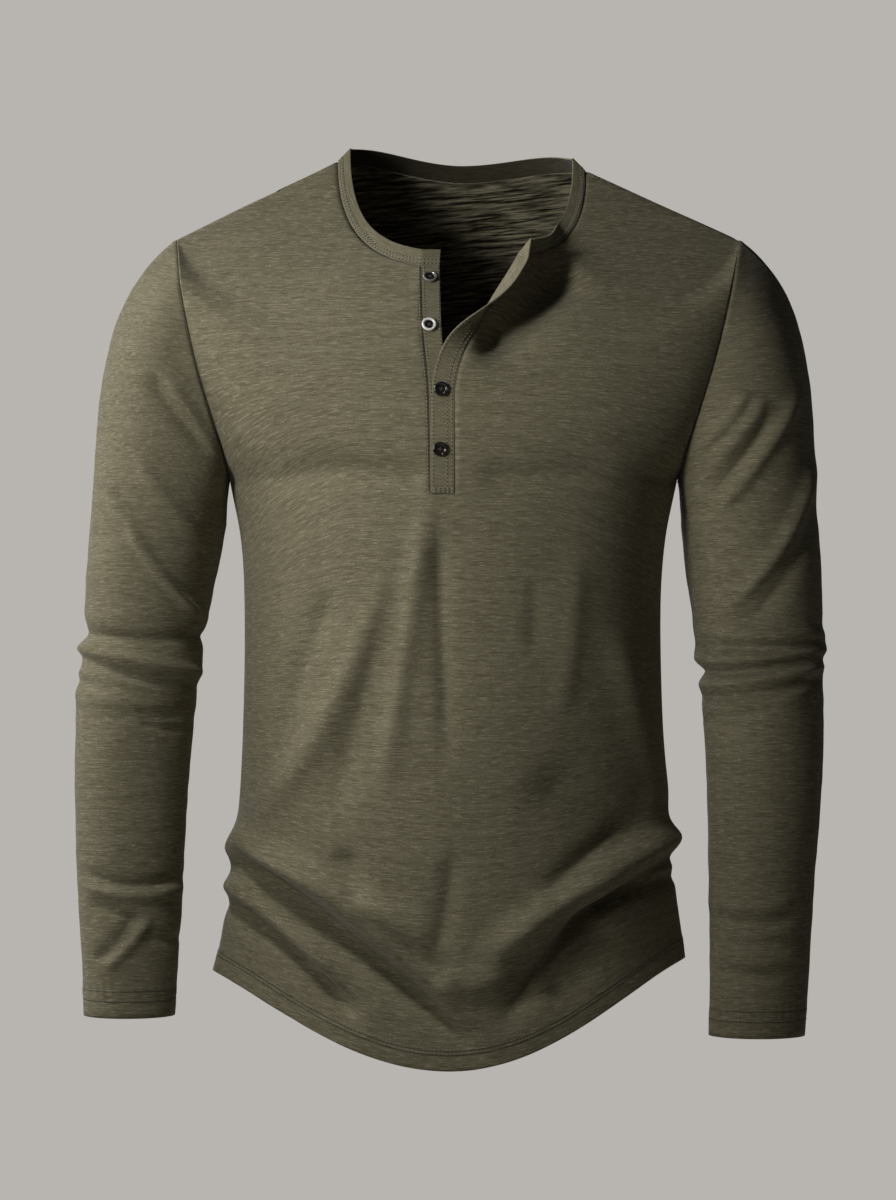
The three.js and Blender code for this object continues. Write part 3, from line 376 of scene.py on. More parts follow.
# %% Fold tables of the sleeves
SLEEVE_FOLDS = {
    "right": {
        "front": table(
            FOLD,
            (-236, -180, -213, -213, -174, -256, -4, 7, 0),
            (-228, -176, -196, -222, -172, -250, 3, 7, 0),
            (-246, -240, -223, -281, -190, -318, 2.5, 7, 0),
            (-276, -235, -247, -313, -186, -386, 3.5, 7, 0),
            (-222, -152, -199, -181, -182, -202, -3, 9, 0),
            (-334, -380, -250, -390, -170, -386, -5, 6, 0),
            (-330, -392, -250, -407, -176, -423, 5.5, 6.5, 0),
            (-300, -402, -250, -419, -186, -431, -4, 4.5, 0),
            (-262, -292, -240, -332, -196, -378, -3, 4.5, 0),
            (-252, -290, -228, -338, -182, -384, 3, 4.5, 0),
            (-330, -418, -268, -422, -214, -436, 3, 5, 0),
            (-320, -431, -262, -438, -205, -446, 2, 9, 0),
            (-248, -445, -228, -450, -200, -449, -2.5, 4, 0),
            (-244, -456, -226, -461, -204, -462, -2, 4, 0),
            (-296, -570, -252, -583, -200, -576, -3.5, 5, 0),
            (-296, -579, -252, -592, -200, -585, 3, 5, 0),
            (-286, -596, -262, -606, -236, -613, -3, 5, 0),
            (-232, -606, -250, -632, -272, -652, 2.5, 5, 0),
            (-244, -604, -262, -630, -284, -646, -2.5, 5, 0),
            (-240, -620, -222, -628, -204, -626, -2, 5, 0)),
        "back": table(
            FOLD,
            (-330, -372, -250, -384, -170, -392, -4, 7, 0),
            (-336, -393, -250, -404, -178, -414, 4, 9, 0),
            (-318, -424, -250, -420, -190, -432, -3, 7, 0),
            (-262, -170, -240, -215, -196, -250, 3, 9, 0),
            (-280, -250, -240, -310, -200, -350, 3, 10, 0),
            (-300, -600, -250, -612, -206, -600, 2, 10, 0)),
    },
    "left": {
        "front": table(
            FOLD,
            (236, -192, 218, -221, 186, -248, 3, 6, 0), (252, -200, 230, -229, 198, -268, 3.5, 7, 0),
            (255, -212, 234, -246, 200, -284, -3, 5, 0), (284, -186, 246, -248, 200, -304, 4, 7, 0),
            (294, -236, 266, -312, 204, -384, 4.5, 6.5, 0), (300, -262, 272, -334, 220, -392, -3, 8, 0),
            (206, -386, 254, -388, 322, -386, 4, 7, 0), (186, -396, 244, -398, 310, -393, -3.5, 4.5, 0),
            (180, -407, 240, -406, 334, -397, 5, 6, 0), (170, -418, 240, -415, 306, -402, -5.5, 4.5, 0),
            (190, -428, 242, -423, 322, -409, 5, 5.5, 0),
            (190, -438, 242, -433, 308, -419, -4.5, 4.5, 0),
            (210, -446, 250, -441, 292, -432, 2.5, 6, 0), (194, -456, 230, -450, 264, -441, -2.5, 5, 0),
            (202, -597, 240, -602, 278, -594, 3, 5, 0), (204, -607, 240, -612, 282, -604, -3, 5, 0),
            (206, -618, 244, -622, 286, -614, 2.5, 5, 0), (208, -640, 244, -644, 284, -636, 2.5, 5, 0),
            (210, -650, 240, -654, 280, -647, -2.5, 5, 0)),
        "back": table(
            FOLD,
            (330, -398, 256, -396, 176, -404, 4, 8, 0), (320, -414, 250, -416, 170, -417, -4, 7, 0),
            (320, -408, 256, -432, 196, -444, 3, 8, 0), (276, -176, 252, -220, 206, -262, 4, 9, 0),
            (290, -262, 256, -318, 210, -360, 3, 10, 0), (290, -606, 250, -616, 206, -604, 2, 10, 0)),
    },
}
print("folds on the front:", len(FRONT_FOLDS["rise"]), "and on the back:", len(BACK_FOLDS["rise"]))


# %% Height of the folds at any place
FOLD_PARTS = 24
RIDGE_POWER, TROUGH_POWER = 2.0, 1.5
BODY_DEEPER, SLEEVE_DEEPER, NARROWER = 1.6, 1.2, 0.85


def fold_height(folds, place, deeper=BODY_DEEPER):
    """Height of all the folds together at places given as rows of x and z."""
    height = np.zeros(len(place))
    s = np.linspace(0, 1, FOLD_PARTS + 1)[:, None]
    for start_x, start_z, past_x, past_z, end_x, end_z, rise, half, steep in zip(*folds.values()):
        rise, half = rise * deeper, half * NARROWER
        start, past, end = (np.array(p) for p in ((start_x, start_z), (past_x, past_z), (end_x, end_z)))
        bend = 2 * past - (start + end) / 2
        line = (1 - s) ** 2 * start + 2 * s * (1 - s) * bend + s ** 2 * end
        reach = 3 * half
        near = np.flatnonzero(((place > line.min(0) - reach) & (place < line.max(0) + reach)).all(1))
        if not len(near):
            continue
        step = line[1:] - line[:-1]
        away = place[near, None] - line[None, :-1]
        along = np.clip((away * step).sum(-1) / (step ** 2).sum(-1), 0, 1)
        off = away - along[..., None] * step
        distance = np.sqrt((off ** 2).sum(-1))
        part = distance.argmin(1)
        pick = np.arange(len(near)), part
        t = (part + along[pick]) / FOLD_PARTS
        hand = np.sign(step[part, 0] * off[pick][:, 1] - step[part, 1] * off[pick][:, 0])
        width = half * (1 - steep * hand)
        power = RIDGE_POWER if rise > 0 else TROUGH_POWER
        fade = smooth(t / 0.25) * smooth((1 - t) / 0.25)
        height[near] += rise * fade * np.exp(-((distance[pick] / width) ** power))
    return height


probe = np.array([[-106.0, -577.0], [0.0, -200.0]])
print("fold height on the left swag and on the chest:", fold_height(FRONT_FOLDS, probe).round(1), "mm")

# %% [markdown]
# ## Laying the folds
# A fold moves the cloth along the direction that the cloth faces. Where two pieces are sewn
# together they have to move alike, so both read one shared direction, and a fold that crosses
# the side seam counts half from the front table and half from the back table on it.

# %% Shared directions, and the folds laid in
def facing(grids):
    """Outward direction at each point of each grid, one direction wherever grids touch."""
    places, normals = [], []
    for grid in grids.values():
        across = grid[1:, 1:] - grid[:-1, :-1]
        up = grid[1:, :-1] - grid[:-1, 1:]
        square = np.cross(across, up)
        square /= np.maximum(np.linalg.norm(square, axis=-1, keepdims=True), 1e-9)
        total = np.zeros_like(grid)
        for rows in (slice(None, -1), slice(1, None)):
            for columns in (slice(None, -1), slice(1, None)):
                total[rows, columns] += square
        places.append(grid.reshape(-1, 3))
        normals.append(total.reshape(-1, 3))
    keys = np.round(np.vstack(places), 3)
    kinds, which = np.unique(keys, axis=0, return_inverse=True)
    sums = np.zeros((len(kinds), 3))
    np.add.at(sums, which.ravel(), np.vstack(normals))
    sums /= np.maximum(np.linalg.norm(sums, axis=-1, keepdims=True), 1e-9)
    shared = sums[which.ravel()]
    ends = np.cumsum([len(p) for p in places])[:-1]
    return {name: part.reshape(grids[name].shape) for name, part in zip(grids, np.split(shared, ends))}


def panel_shares(v, u, face):
    near_edge = smooth((np.abs(u) - 0.75) / 0.25)
    still = np.where(v[:, None] > ARMPIT, 1 - near_edge, 1)
    own, other = (1 - 0.5 * near_edge) * still, 0.5 * near_edge * still
    return (own, other) if face == "front" else (other, own)


def sleeve_shares(side):
    angle = angles[side]
    forward = smooth(0.5 + 0.8 * np.sin(angle))[None]
    rows = calm["sleeve_" + side].shape[0]
    run = np.linalg.norm(np.diff(calm["sleeve_" + side], axis=0), axis=-1)
    below_seam = np.vstack([np.cumsum(run[::-1], axis=0)[::-1], np.zeros((1, len(angle)))])
    still = smooth(below_seam / 30)
    return forward * still, (1 - forward) * still


def flat_places(grid):
    return grid[..., [0, 2]].reshape(-1, 2)


def with_folds(grid, normals, shares, front_folds, back_folds, deeper=BODY_DEEPER):
    height = (shares[0].ravel() * fold_height(front_folds, flat_places(grid), deeper)
              + shares[1].ravel() * fold_height(back_folds, flat_places(grid), deeper))
    return grid + normals * height.reshape(grid.shape[:2])[..., None]


calm_facing = facing(calm)
cloth = {
    "front": with_folds(calm["front"], calm_facing["front"], panel_shares(ROWS, front_u, "front"),
                        FRONT_FOLDS, BACK_FOLDS),
    "back": with_folds(calm["back"], calm_facing["back"], panel_shares(ROWS, back_u, "back"),
                       FRONT_FOLDS, BACK_FOLDS),
}
for side in SIDES:
    name = "sleeve_" + side
    cloth[name] = with_folds(calm[name], calm_facing[name], sleeve_shares(side),
                             SLEEVE_FOLDS[side]["front"], SLEEVE_FOLDS[side]["back"], SLEEVE_DEEPER)
print("the folds move the front by up to",
      np.abs(cloth["front"] - calm["front"]).max().round(1), "mm")

# %% [markdown]
# ## Placket strips and neckband
# The placket is two narrow strips of doubled cloth along the slit. The one with the buttons
# lies under, the one with the buttonholes lies over it, and turns out above the third button.
# The neckband is a strip of its own that stands on the neck seam. All three start from points
# of the panels, so they stay on them wherever the folds have moved the cloth.

# %% Strips along the slit
STRIP_COLUMNS = 28
UNDER_WIDTH, OVER_WIDTH = 14.5, 17.5
UNDER_DIP, OVER_LIFT = 1.9, 1.7
across = np.linspace(0, 1, STRIP_COLUMNS + 1)[None, :, None]
under_roots = cloth["front"][PLACKET_ROW:, RIGHT_ROOT]
cloth["under"] = under_roots[:, None] + across * np.array([UNDER_WIDTH, UNDER_DIP, 0])

over_roots = cloth["front"][PLACKET_ROW:, LEFT_ROOT]
along = np.gradient(over_roots, axis=0)[:, [0, 2]]
along /= np.linalg.norm(along, axis=1, keepdims=True)
aside = points(-along[:, 1], 0, along[:, 0])
open_share = openness(over_roots[:, 2])
turn = np.radians(OPENED["turn"]) * smooth((open_share - 0.1) * 1.25)
shut_share = 1 - smooth((open_share - 0.1) * 4)
outward = aside * np.cos(turn)[:, None] * OVER_WIDTH
outward[:, 1] -= OVER_WIDTH * np.sin(turn) + OVER_LIFT * shut_share
cloth["over"] = (over_roots[:, None] + across * outward[:, None])[:, ::-1]
print("strips are", len(under_roots), "rows long")

# %% Neckband on the neck seam
BAND_WIDTH = 14
BAND_ROWS = 22
under_top, over_top = cloth["under"][-1], cloth["over"][-1]
neck = cloth["front"][-1]
band_parts = [
    ("under", under_top[:0:-1]),
    ("right", neck[RIGHT_ROOT::-1]),
    ("back", cloth["back"][-1][-2:0:-1]),
    ("left", neck[:LEFT_ROOT - 1:-1]),
    ("over", over_top[-2::-1]),
]
seam_line = np.vstack([part for _, part in band_parts])
part_of = np.concatenate([[name] * len(part) for name, part in band_parts])
steps_out = np.arange(len(part_of)) - np.argmax(part_of == "over") + 1
out_share = np.where(part_of == "over", steps_out / STRIP_COLUMNS, 0)
neck_middle = FRONT_LINE["x"][-1]
inward = points((neck_middle - seam_line[:, 0]) / NECK_HALF, (4 - seam_line[:, 1]) / 66, 0)
lean = 0.3 + 0.4 * np.minimum(inward[:, 0] ** 2, 1)
inward *= (lean / np.linalg.norm(inward, axis=1))[:, None]
usual = inward + points(0, 0, np.sqrt(1 - lean ** 2))
near_slit = np.where(part_of == "left", smooth((100 - seam_line[:, 0]) / 35), 0)
turned = np.where(part_of == "over", 1, near_slit)[:, None]
folded = points(0.6 - 0.5 * out_share, 0.2 - 0.3 * out_share, 0.78)
folded /= np.linalg.norm(folded, axis=1, keepdims=True)
stand = lerp(usual, folded, turned)
stand *= (BAND_WIDTH + 2 * turned) / np.linalg.norm(stand, axis=1, keepdims=True)
heights = np.linspace(0, 1, BAND_ROWS + 1)[:, None, None]
cloth["band"] = (seam_line[None] + heights * stand[None])[:, ::-1]
print("the neck seam is", np.linalg.norm(np.diff(seam_line, axis=0), axis=1).sum().round(), "mm round")

# %% [markdown]
# ## Small relief beside seams and hems
# A seam pulls the cloth in, a hem is two layers thick, and a row of stitches puckers what it
# holds. These are reliefs of a few tenths of a millimetre that follow the edges of the pieces.
# They could be bump in a material, but then they'd vanish at the outline, so they are laid
# into the shape. A slow noise is added, because no worn cloth is quite smooth between folds.

# %% Distances from the edges of a grid
def turned_to(grid, edge):
    """The grid turned so that the named edge is its first row."""
    if edge in ("first", "last"):
        grid = np.swapaxes(grid, 0, 1)
    return grid[::-1] if edge in ("top", "last") else grid


def from_edge(grid, edge):
    """Distance along the cloth from the named edge, for each point of the grid."""
    facing_edge = turned_to(grid, edge)
    run = np.linalg.norm(np.diff(facing_edge, axis=0), axis=-1)
    distance = np.vstack([np.zeros((1, run.shape[1])), np.cumsum(run, axis=0)])
    if edge in ("top", "last"):
        distance = distance[::-1]
    return distance.T if edge in ("first", "last") else distance


def along_rows(grid):
    run = np.linalg.norm(np.diff(grid, axis=1), axis=-1)
    return np.hstack([np.zeros((run.shape[0], 1)), np.cumsum(run, axis=1)])


def wavering(grid, size, seed):
    """Slow noise from -1 to 1 over a grid; size is the size of its lumps along x, y and z."""
    scaled = grid.reshape(-1, 3) / np.array(size) + seed
    return np.array([noise.noise(Vector(p)) for p in scaled]).reshape(grid.shape[:2]) * 1.6


def groove(distance, width):
    return np.exp(-((distance / width) ** 2))


def puckers(grid, distance, middle, spread_mm, pitch, seed):
    waves = np.sin(2 * np.pi * along_rows(grid) / pitch + 3 * wavering(grid, (30, 30, 30), seed))
    return waves * groove(distance - middle, spread_mm)


# %% Relief of the panels and the sleeves
HEM_STITCH, CUFF_STITCH = (12.5, 15.5), (13.0, 21.0)


def hem_relief(grid, edge, stitches):
    up = from_edge(grid, edge)
    depth = max(stitches)
    ridge = 0.45 * (1 - smooth((up - depth) / 1.5))
    lines = sum(0.35 * groove(up - at, 0.9) for at in stitches)
    return ridge - lines + 0.3 * puckers(grid, up, depth, 7, 8.5, 5)


def panel_relief(name):
    grid = calm[name]
    beside = np.minimum(from_edge(grid, "first"), from_edge(grid, "last"))
    below_neck = from_edge(grid, "top")
    relief = -0.9 * groove(beside, 1.3) - 0.8 * groove(below_neck, 1.3)
    relief += hem_relief(grid, "bottom", HEM_STITCH)
    relief += 0.8 * wavering(grid, (70, 70, 150), 11)
    relief += 0.35 * wavering(grid, (24, 24, 60), 23) * smooth((-430 - grid[..., 2]) / 120)
    return relief


def sleeve_relief(name):
    grid = calm[name]
    from_armhole = from_edge(grid, "top")
    underarm = np.minimum(from_edge(grid, "first"), from_edge(grid, "last"))
    relief = -1.0 * groove(from_armhole, 1.3) - 0.5 * groove(underarm, 1.2)
    relief += 0.35 * groove(from_armhole - 3.5, 2.5)
    relief += 0.3 * puckers(grid, from_armhole, 6, 6, 9, 31)
    relief += hem_relief(grid, "bottom", CUFF_STITCH)
    relief += 0.7 * wavering(grid, (50, 50, 110), 41)
    elbow = np.exp(-(((grid[..., 2] + 410) / 60) ** 2))
    relief += (0.25 + 0.5 * elbow) * wavering(grid, (40, 40, 14), 47) * smooth(from_armhole / 30)
    return relief


cloth_facing = facing(cloth)
for name in ("front", "back", "sleeve_right", "sleeve_left"):
    relief = panel_relief(name) if name in ("front", "back") else sleeve_relief(name)
    cloth[name] = cloth[name] + cloth_facing[name] * relief[..., None]
    print(name, "relief from", relief.min().round(2), "to", relief.max().round(2), "mm")
cloth_facing = facing(cloth)

# %% [markdown]
# ## The lie of the knit
# Slub jersey is knitted from yarn with thick and thin places, and each thick place shows as a
# short light streak along a course of the knit. So the streaks must follow the courses, not
# the room. We give each piece a UV map in real metres: u runs along a course, and v counts the
# courses. They bend where worn cloth is pulled, up to the armpits and along the shirt-tail.

# %% UV maps in metres
def panel_courses(name):
    grid = calm[name]
    middle = int(np.argmin(abs(grid[0, :, 0])))
    u = along_rows(grid)
    u = u - u[:, middle:middle + 1]
    z, middle_z = grid[..., 2], grid[:, middle:middle + 1, 2]
    follow_hem = 0.65 * (1 - smooth(ROWS / 0.5))[:, None]
    out = np.maximum(abs(grid[..., 0]) - 70, 0) / 100
    pull = np.exp(-(((z + 300) / 85) ** 2)) * np.where(grid[..., 0] < 0, 52, 30)
    v = z - follow_hem * (z - middle_z) + pull * out ** 1.5
    if name == "back":
        v = v - 0.1 * grid[..., 0]
    return np.stack([u, v], axis=-1)


def sleeve_courses(name):
    grid = calm[name]
    return np.stack([along_rows(grid), from_edge(grid, "bottom")], axis=-1)


courses = {name: panel_courses(name) for name in ("front", "back")}
courses |= {name: sleeve_courses(name) for name in ("sleeve_right", "sleeve_left")}
courses |= {name: np.stack([along_rows(cloth[name]), from_edge(cloth[name], "bottom")], axis=-1)
            for name in ("under", "over", "band")}
print("the front has", (np.ptp(courses["front"][..., 1])).round(), "mm of courses")

# %% [markdown]
# ## From a grid to a piece of cloth
# `create_grid` makes the flat sheet, and each of its vertices is then carried to its place on
# the shirt. Drawing vertex and face lists by hand would give the same mesh with more to go
# wrong. A Solidify modifier gives the sheet its thickness, inwards, so that the face stays
# where the frame has it, and it gives the inner side its own material.

# %% Cloth pieces
CLOTH_THICKNESS, STRIP_THICKNESS = 0.9, 1.2


def cloth_piece(name, kind, materials, thickness=CLOTH_THICKNESS, missing=None, second=None):
    """A sheet with its thickness. Materials are pairs for the face and the inner side, and the
    columns marked in `second` take the second pair."""
    grid, course = cloth[kind], courses[kind]
    rows, columns = grid.shape[0] - 1, grid.shape[1] - 1
    bm = bmesh.new()
    bmesh.ops.create_grid(bm, x_segments=columns, y_segments=rows, size=1)
    flat = np.array([v.co[:2] for v in bm.verts])
    column, row = np.rint((flat + 1) / 2 * (columns, rows)).astype(int).T
    uv = bm.loops.layers.uv.new("courses")
    for face in bm.faces:
        face.smooth = True
        for loop in face.loops:
            at = loop.vert.index
            loop[uv].uv = course[row[at], column[at]] * MM
    for vert in bm.verts:
        vert.co = grid[row[vert.index], column[vert.index]] * MM
    if second is not None:
        for face in bm.faces:
            face.material_index = 2 * int(second[min(column[v.index] for v in face.verts)])
    if missing:
        gone = [f for f in bm.faces
                if missing(min(row[v.index] for v in f.verts),
                           min(column[v.index] for v in f.verts))]
        bmesh.ops.delete(bm, geom=gone, context="FACES")
    bmesh.ops.remove_doubles(bm, verts=bm.verts, dist=1e-6)
    mesh = bpy.data.meshes.new(name)
    bm.to_mesh(mesh)
    bm.free()
    piece = bpy.data.objects.new(name, mesh)
    bpy.context.collection.objects.link(piece)
    for material in materials:
        mesh.materials.append(material)
    shell = piece.modifiers.new("thickness", "SOLIDIFY")
    shell.thickness, shell.offset = thickness * MM, -1
    shell.material_offset, shell.material_offset_rim = min(1, len(materials) - 1), 0
    print(name, "has", len(mesh.polygons), "faces before it is thickened")
    return piece

# %% [markdown]
# ## Jersey
# The colour of slub jersey is one olive with a few things on it: short light streaks where the
# yarn is thick, fainter long bands, and a fine salt-and-pepper grain. Each is a noise texture
# stretched along the courses, so all of them read the UV map in metres. The inner side of this
# jersey is much bolder, near black between pale streaks, so it is a material of its own.

# %% Small helpers for node materials
def new_material(name):
    material = bpy.data.materials.new(name)
    material.use_nodes = True
    nodes, links = material.node_tree.nodes, material.node_tree.links
    nodes.clear()
    shader = nodes.new("ShaderNodeBsdfPrincipled")
    output = nodes.new("ShaderNodeOutputMaterial")
    links.new(shader.outputs[0], output.inputs["Surface"])
    return material, nodes, links, shader


def srgb(red, green, blue):
    """A colour as a screen shows it, 0 to 255, made linear for the shader."""
    share = np.array([red, green, blue]) / 255
    linear = np.where(share <= 0.04045, share / 12.92, ((share + 0.055) / 1.055) ** 2.4)
    return (*linear, 1.0)


def stretched_noise(nodes, links, vector, per_metre, detail=2.0, roughness=0.55):
    """Noise with so many lumps a metre along and across the courses, from 0 to 1."""
    mapping = nodes.new("ShaderNodeMapping")
    mapping.inputs["Scale"].default_value = (*per_metre, 1.0)
    texture = nodes.new("ShaderNodeTexNoise")
    texture.inputs["Scale"].default_value = 1.0
    texture.inputs["Detail"].default_value = detail
    texture.inputs["Roughness"].default_value = roughness
    links.new(vector, mapping.inputs["Vector"])
    links.new(mapping.outputs[0], texture.inputs["Vector"])
    return texture.outputs["Fac"]


def levels_of(nodes, links, value, low, high):
    """Stretches a value so that low becomes 0 and high becomes 1."""
    node = nodes.new("ShaderNodeMapRange")
    node.inputs["From Min"].default_value = low
    node.inputs["From Max"].default_value = high
    links.new(value, node.inputs["Value"])
    return node.outputs[0]


def blend(nodes, links, share, first, second):
    """Mixes two colours, each a colour or the output of a node, by a share that a node gives."""
    node = nodes.new("ShaderNodeMix")
    node.data_type = "RGBA"
    links.new(share, node.inputs[0])
    for socket, colour in ((node.inputs[6], first), (node.inputs[7], second)):
        if isinstance(colour, tuple):
            socket.default_value = colour
        else:
            links.new(colour, socket)
    return node.outputs[2]


def maths(nodes, links, operation, first, second):
    node = nodes.new("ShaderNodeMath")
    node.operation = operation
    for socket, value in zip(node.inputs, (first, second)):
        if isinstance(value, (int, float)):
            socket.default_value = value
        else:
            links.new(value, socket)
    return node.outputs[0]


# %% The face of the jersey and its inner side
OLIVE, OLIVE_LIGHT, OLIVE_DARK = srgb(118, 112, 89), srgb(152, 146, 122), srgb(92, 86, 65)
INSIDE_DARK, INSIDE_LIGHT = srgb(28, 25, 16), srgb(140, 134, 110)


def jersey(name, base, light, dark, streak_size=(95, 900), streak=(0.54, 0.64), shift=0.0):
    material, nodes, links, shader = new_material(name)
    courses_map = nodes.new("ShaderNodeUVMap")
    courses_map.uv_map = "courses"
    place = nodes.new("ShaderNodeMapping")
    place.inputs["Location"].default_value = (shift, shift, 0)
    links.new(courses_map.outputs[0], place.inputs["Vector"])
    vector = place.outputs[0]
    slubs = levels_of(nodes, links, stretched_noise(nodes, links, vector, streak_size, 1.5), *streak)
    shadows = levels_of(nodes, links, stretched_noise(nodes, links, vector, (70, 800), 1.0), 0.47, 0.36)
    bands = levels_of(nodes, links, stretched_noise(nodes, links, vector, (12, 190), 2.0), 0.42, 0.68)
    grain = stretched_noise(nodes, links, vector, (520, 900), 1.0)
    colour = blend(nodes, links, maths(nodes, links, "MULTIPLY", bands, 0.35), base, light)
    colour = blend(nodes, links, maths(nodes, links, "MULTIPLY", shadows, 0.6), colour, dark)
    colour = blend(nodes, links, maths(nodes, links, "MULTIPLY", slubs, 0.8), colour, light)
    grained = maths(nodes, links, "MULTIPLY", levels_of(nodes, links, grain, 0.42, 0.62), 0.4)
    links.new(blend(nodes, links, grained, colour, dark), shader.inputs["Base Color"])
    shader.inputs["Roughness"].default_value = 0.9
    shader.inputs["Specular IOR Level"].default_value = 0.15
    shader.inputs["Sheen Weight"].default_value = 0.12
    shader.inputs["Sheen Roughness"].default_value = 0.45
    height = maths(nodes, links, "ADD", maths(nodes, links, "MULTIPLY", slubs, 1.0), grain)
    bump = nodes.new("ShaderNodeBump")
    bump.inputs["Strength"].default_value = 0.5
    bump.inputs["Distance"].default_value = 0.00025
    links.new(height, bump.inputs["Height"])
    links.new(bump.outputs[0], shader.inputs["Normal"])
    return material


def jersey_inside():
    material, nodes, links, shader = new_material("jersey_inside")
    courses_map = nodes.new("ShaderNodeUVMap")
    courses_map.uv_map = "courses"
    vector = courses_map.outputs[0]
    bold = levels_of(nodes, links, stretched_noise(nodes, links, vector, (26, 400), 3.0, 0.6), 0.4, 0.62)
    fine = levels_of(nodes, links, stretched_noise(nodes, links, vector, (60, 900), 2.0), 0.35, 0.65)
    share = maths(nodes, links, "MULTIPLY", bold, maths(nodes, links, "ADD", fine, 0.35))
    links.new(blend(nodes, links, share, INSIDE_DARK, INSIDE_LIGHT), shader.inputs["Base Color"])
    shader.inputs["Roughness"].default_value = 0.95
    shader.inputs["Specular IOR Level"].default_value = 0.1
    bump = nodes.new("ShaderNodeBump")
    bump.inputs["Strength"].default_value = 0.6
    bump.inputs["Distance"].default_value = 0.0003
    links.new(bold, bump.inputs["Height"])
    links.new(bump.outputs[0], shader.inputs["Normal"])
    return material


JERSEY = jersey("jersey", OLIVE, OLIVE_LIGHT, OLIVE_DARK)
JERSEY_STRIP = jersey("jersey_strip", srgb(124, 118, 94), srgb(146, 140, 116),
                      srgb(98, 92, 70), shift=0.37)
# A darker copy of the strip jersey for the inner face of the standing neckband: painted shade inside the
# collar.
BAND_INSIDE_PAINTED_SHADE = jersey("band_inside_painted_shade", srgb(58, 54, 40), srgb(72, 68, 52), srgb(46, 42, 30), shift=0.61)
INSIDE = jersey_inside()
print("materials so far:", ", ".join(m.name for m in bpy.data.materials))

# %% [markdown]
# ## Cutting out the pieces
# Everything is ready for the seven pieces of cloth. The front is the only one with a hole in
# its grid: the slit, from the end of the placket up to the neck.

# %% The seven pieces of cloth
def in_slit(row, column):
    return row >= PLACKET_ROW and RIGHT_ROOT <= column < LEFT_ROOT


both_sides = [JERSEY, INSIDE]
pieces = {
    "front": cloth_piece("front_panel_cloth", "front", both_sides, missing=in_slit),
    "back": cloth_piece("back_panel_cloth", "back", both_sides),
    "sleeve_right": cloth_piece("sleeve_right_cloth", "sleeve_right", both_sides),
    "sleeve_left": cloth_piece("sleeve_left_cloth", "sleeve_left", both_sides),
    "under": cloth_piece("placket_under_cloth", "under", [JERSEY_STRIP], STRIP_THICKNESS),
    "over": cloth_piece("placket_over_cloth", "over", [JERSEY_STRIP], STRIP_THICKNESS),
    # The inner face of the band takes the painted shade, except in the turned-out columns marked in
    # `second`, which show the strip jersey on both sides.
    "band": cloth_piece("neckband_cloth", "band",
                        [JERSEY_STRIP, BAND_INSIDE_PAINTED_SHADE, JERSEY_STRIP, JERSEY_STRIP],
                        STRIP_THICKNESS, second=turned[::-1, 0] > 0.5),
}

# %% [markdown]
# ## Topstitching
# A row of machine stitches is a line of short, plump threads, each sunk at both ends. One tiny
# ball, stretched to a grain of rice, stands for each, and a flat near-black one paints the shade in each
# needle hole.
# The rows follow the edges of the pieces at a set distance, as a machinist's foot does, so they
# are measured along the cloth.

# %% Stitch rows
STITCH, STITCH_GAP, STITCH_WIDTH = 2.1, 0.9, 0.34
HOLE_SHADE_SIZE = (0.6, 0.5, 0.2)
LOOP, LOOP_GAP, LOOP_SIZE = 0.9, 0.35, (1.45, 0.24, 0.24)


def sheet_of(name, rows=slice(None), columns=slice(None)):
    """Part of a piece of cloth, and the way it faces."""
    return cloth[name][rows, columns], cloth_facing[name][rows, columns]


def line_inside(sheet, edge, distance):
    """A line along the cloth at a set distance from one edge, with the way the cloth faces."""
    grid, normals = (turned_to(part, edge) for part in sheet)
    run = np.linalg.norm(np.diff(grid, axis=0), axis=-1)
    depth = np.vstack([np.zeros((1, run.shape[1])), np.cumsum(run, axis=0)])
    places, outs = [], []
    for c in range(grid.shape[1]):
        r = int(np.clip(np.searchsorted(depth[:, c], distance) - 1, 0, len(run) - 1))
        t = (distance - depth[r, c]) / max(run[r, c], 1e-9)
        places.append(lerp(grid[r, c], grid[r + 1, c], t))
        outs.append(lerp(normals[r, c], normals[r + 1, c], t))
    return np.array(places), np.array(outs)


def stitch_places(line, outs, stitch, gap, size, slant=0.0, shift=0.0):
    """A matrix in metres for each stitch along a line; size is half its length, width, height."""
    run = np.concatenate([[0], np.cumsum(np.linalg.norm(np.diff(line, axis=0), axis=1))])
    count = int(run[-1] // (stitch + gap))
    places = []
    for i in range(count):
        at = (i + 0.5 + shift) * run[-1] / count
        start, end = (Vector([np.interp(s, run, line[:, k]) for k in range(3)])
                      for s in (at - stitch / 2, at + stitch / 2))
        out = Vector([np.interp(at, run, outs[:, k]) for k in range(3)]).normalized()
        along = (end - start).normalized()
        side = out.cross(along).normalized()
        turn = Matrix((along, side, along.cross(side))).transposed().to_4x4()
        places.append(Matrix.Translation(((start + end) / 2 + out * size[2] * 0.45) * MM) @ turn
                      @ Matrix.Rotation(slant * (-1) ** i, 4, "Z") @ Matrix.Diagonal((*size, 1)))
    return places


def grain(u_segments=6, v_segments=4):
    """A ball of 1 mm radius with few faces, to be stretched into a stitch."""
    bm = bmesh.new()
    bmesh.ops.create_uvsphere(bm, u_segments=u_segments, v_segments=v_segments, radius=MM)
    mesh = bpy.data.meshes.new("grain")
    bm.to_mesh(mesh)
    bm.free()
    return mesh


def copies(name, *groups):
    """One piece made of small shapes, each group being places, a shape and a material."""
    bm = bmesh.new()
    mesh = bpy.data.meshes.new(name)
    for number, (places, shape, material) in enumerate(groups):
        mesh.materials.append(material)
        for face in shape.polygons:
            face.use_smooth, face.material_index = True, number
        for place in places:
            one = shape.copy()
            one.transform(place)
            bm.from_mesh(one)
            bpy.data.meshes.remove(one)
        bpy.data.meshes.remove(shape)
    bm.to_mesh(mesh)
    bm.free()
    piece = bpy.data.objects.new(name, mesh)
    bpy.context.collection.objects.link(piece)
    return piece


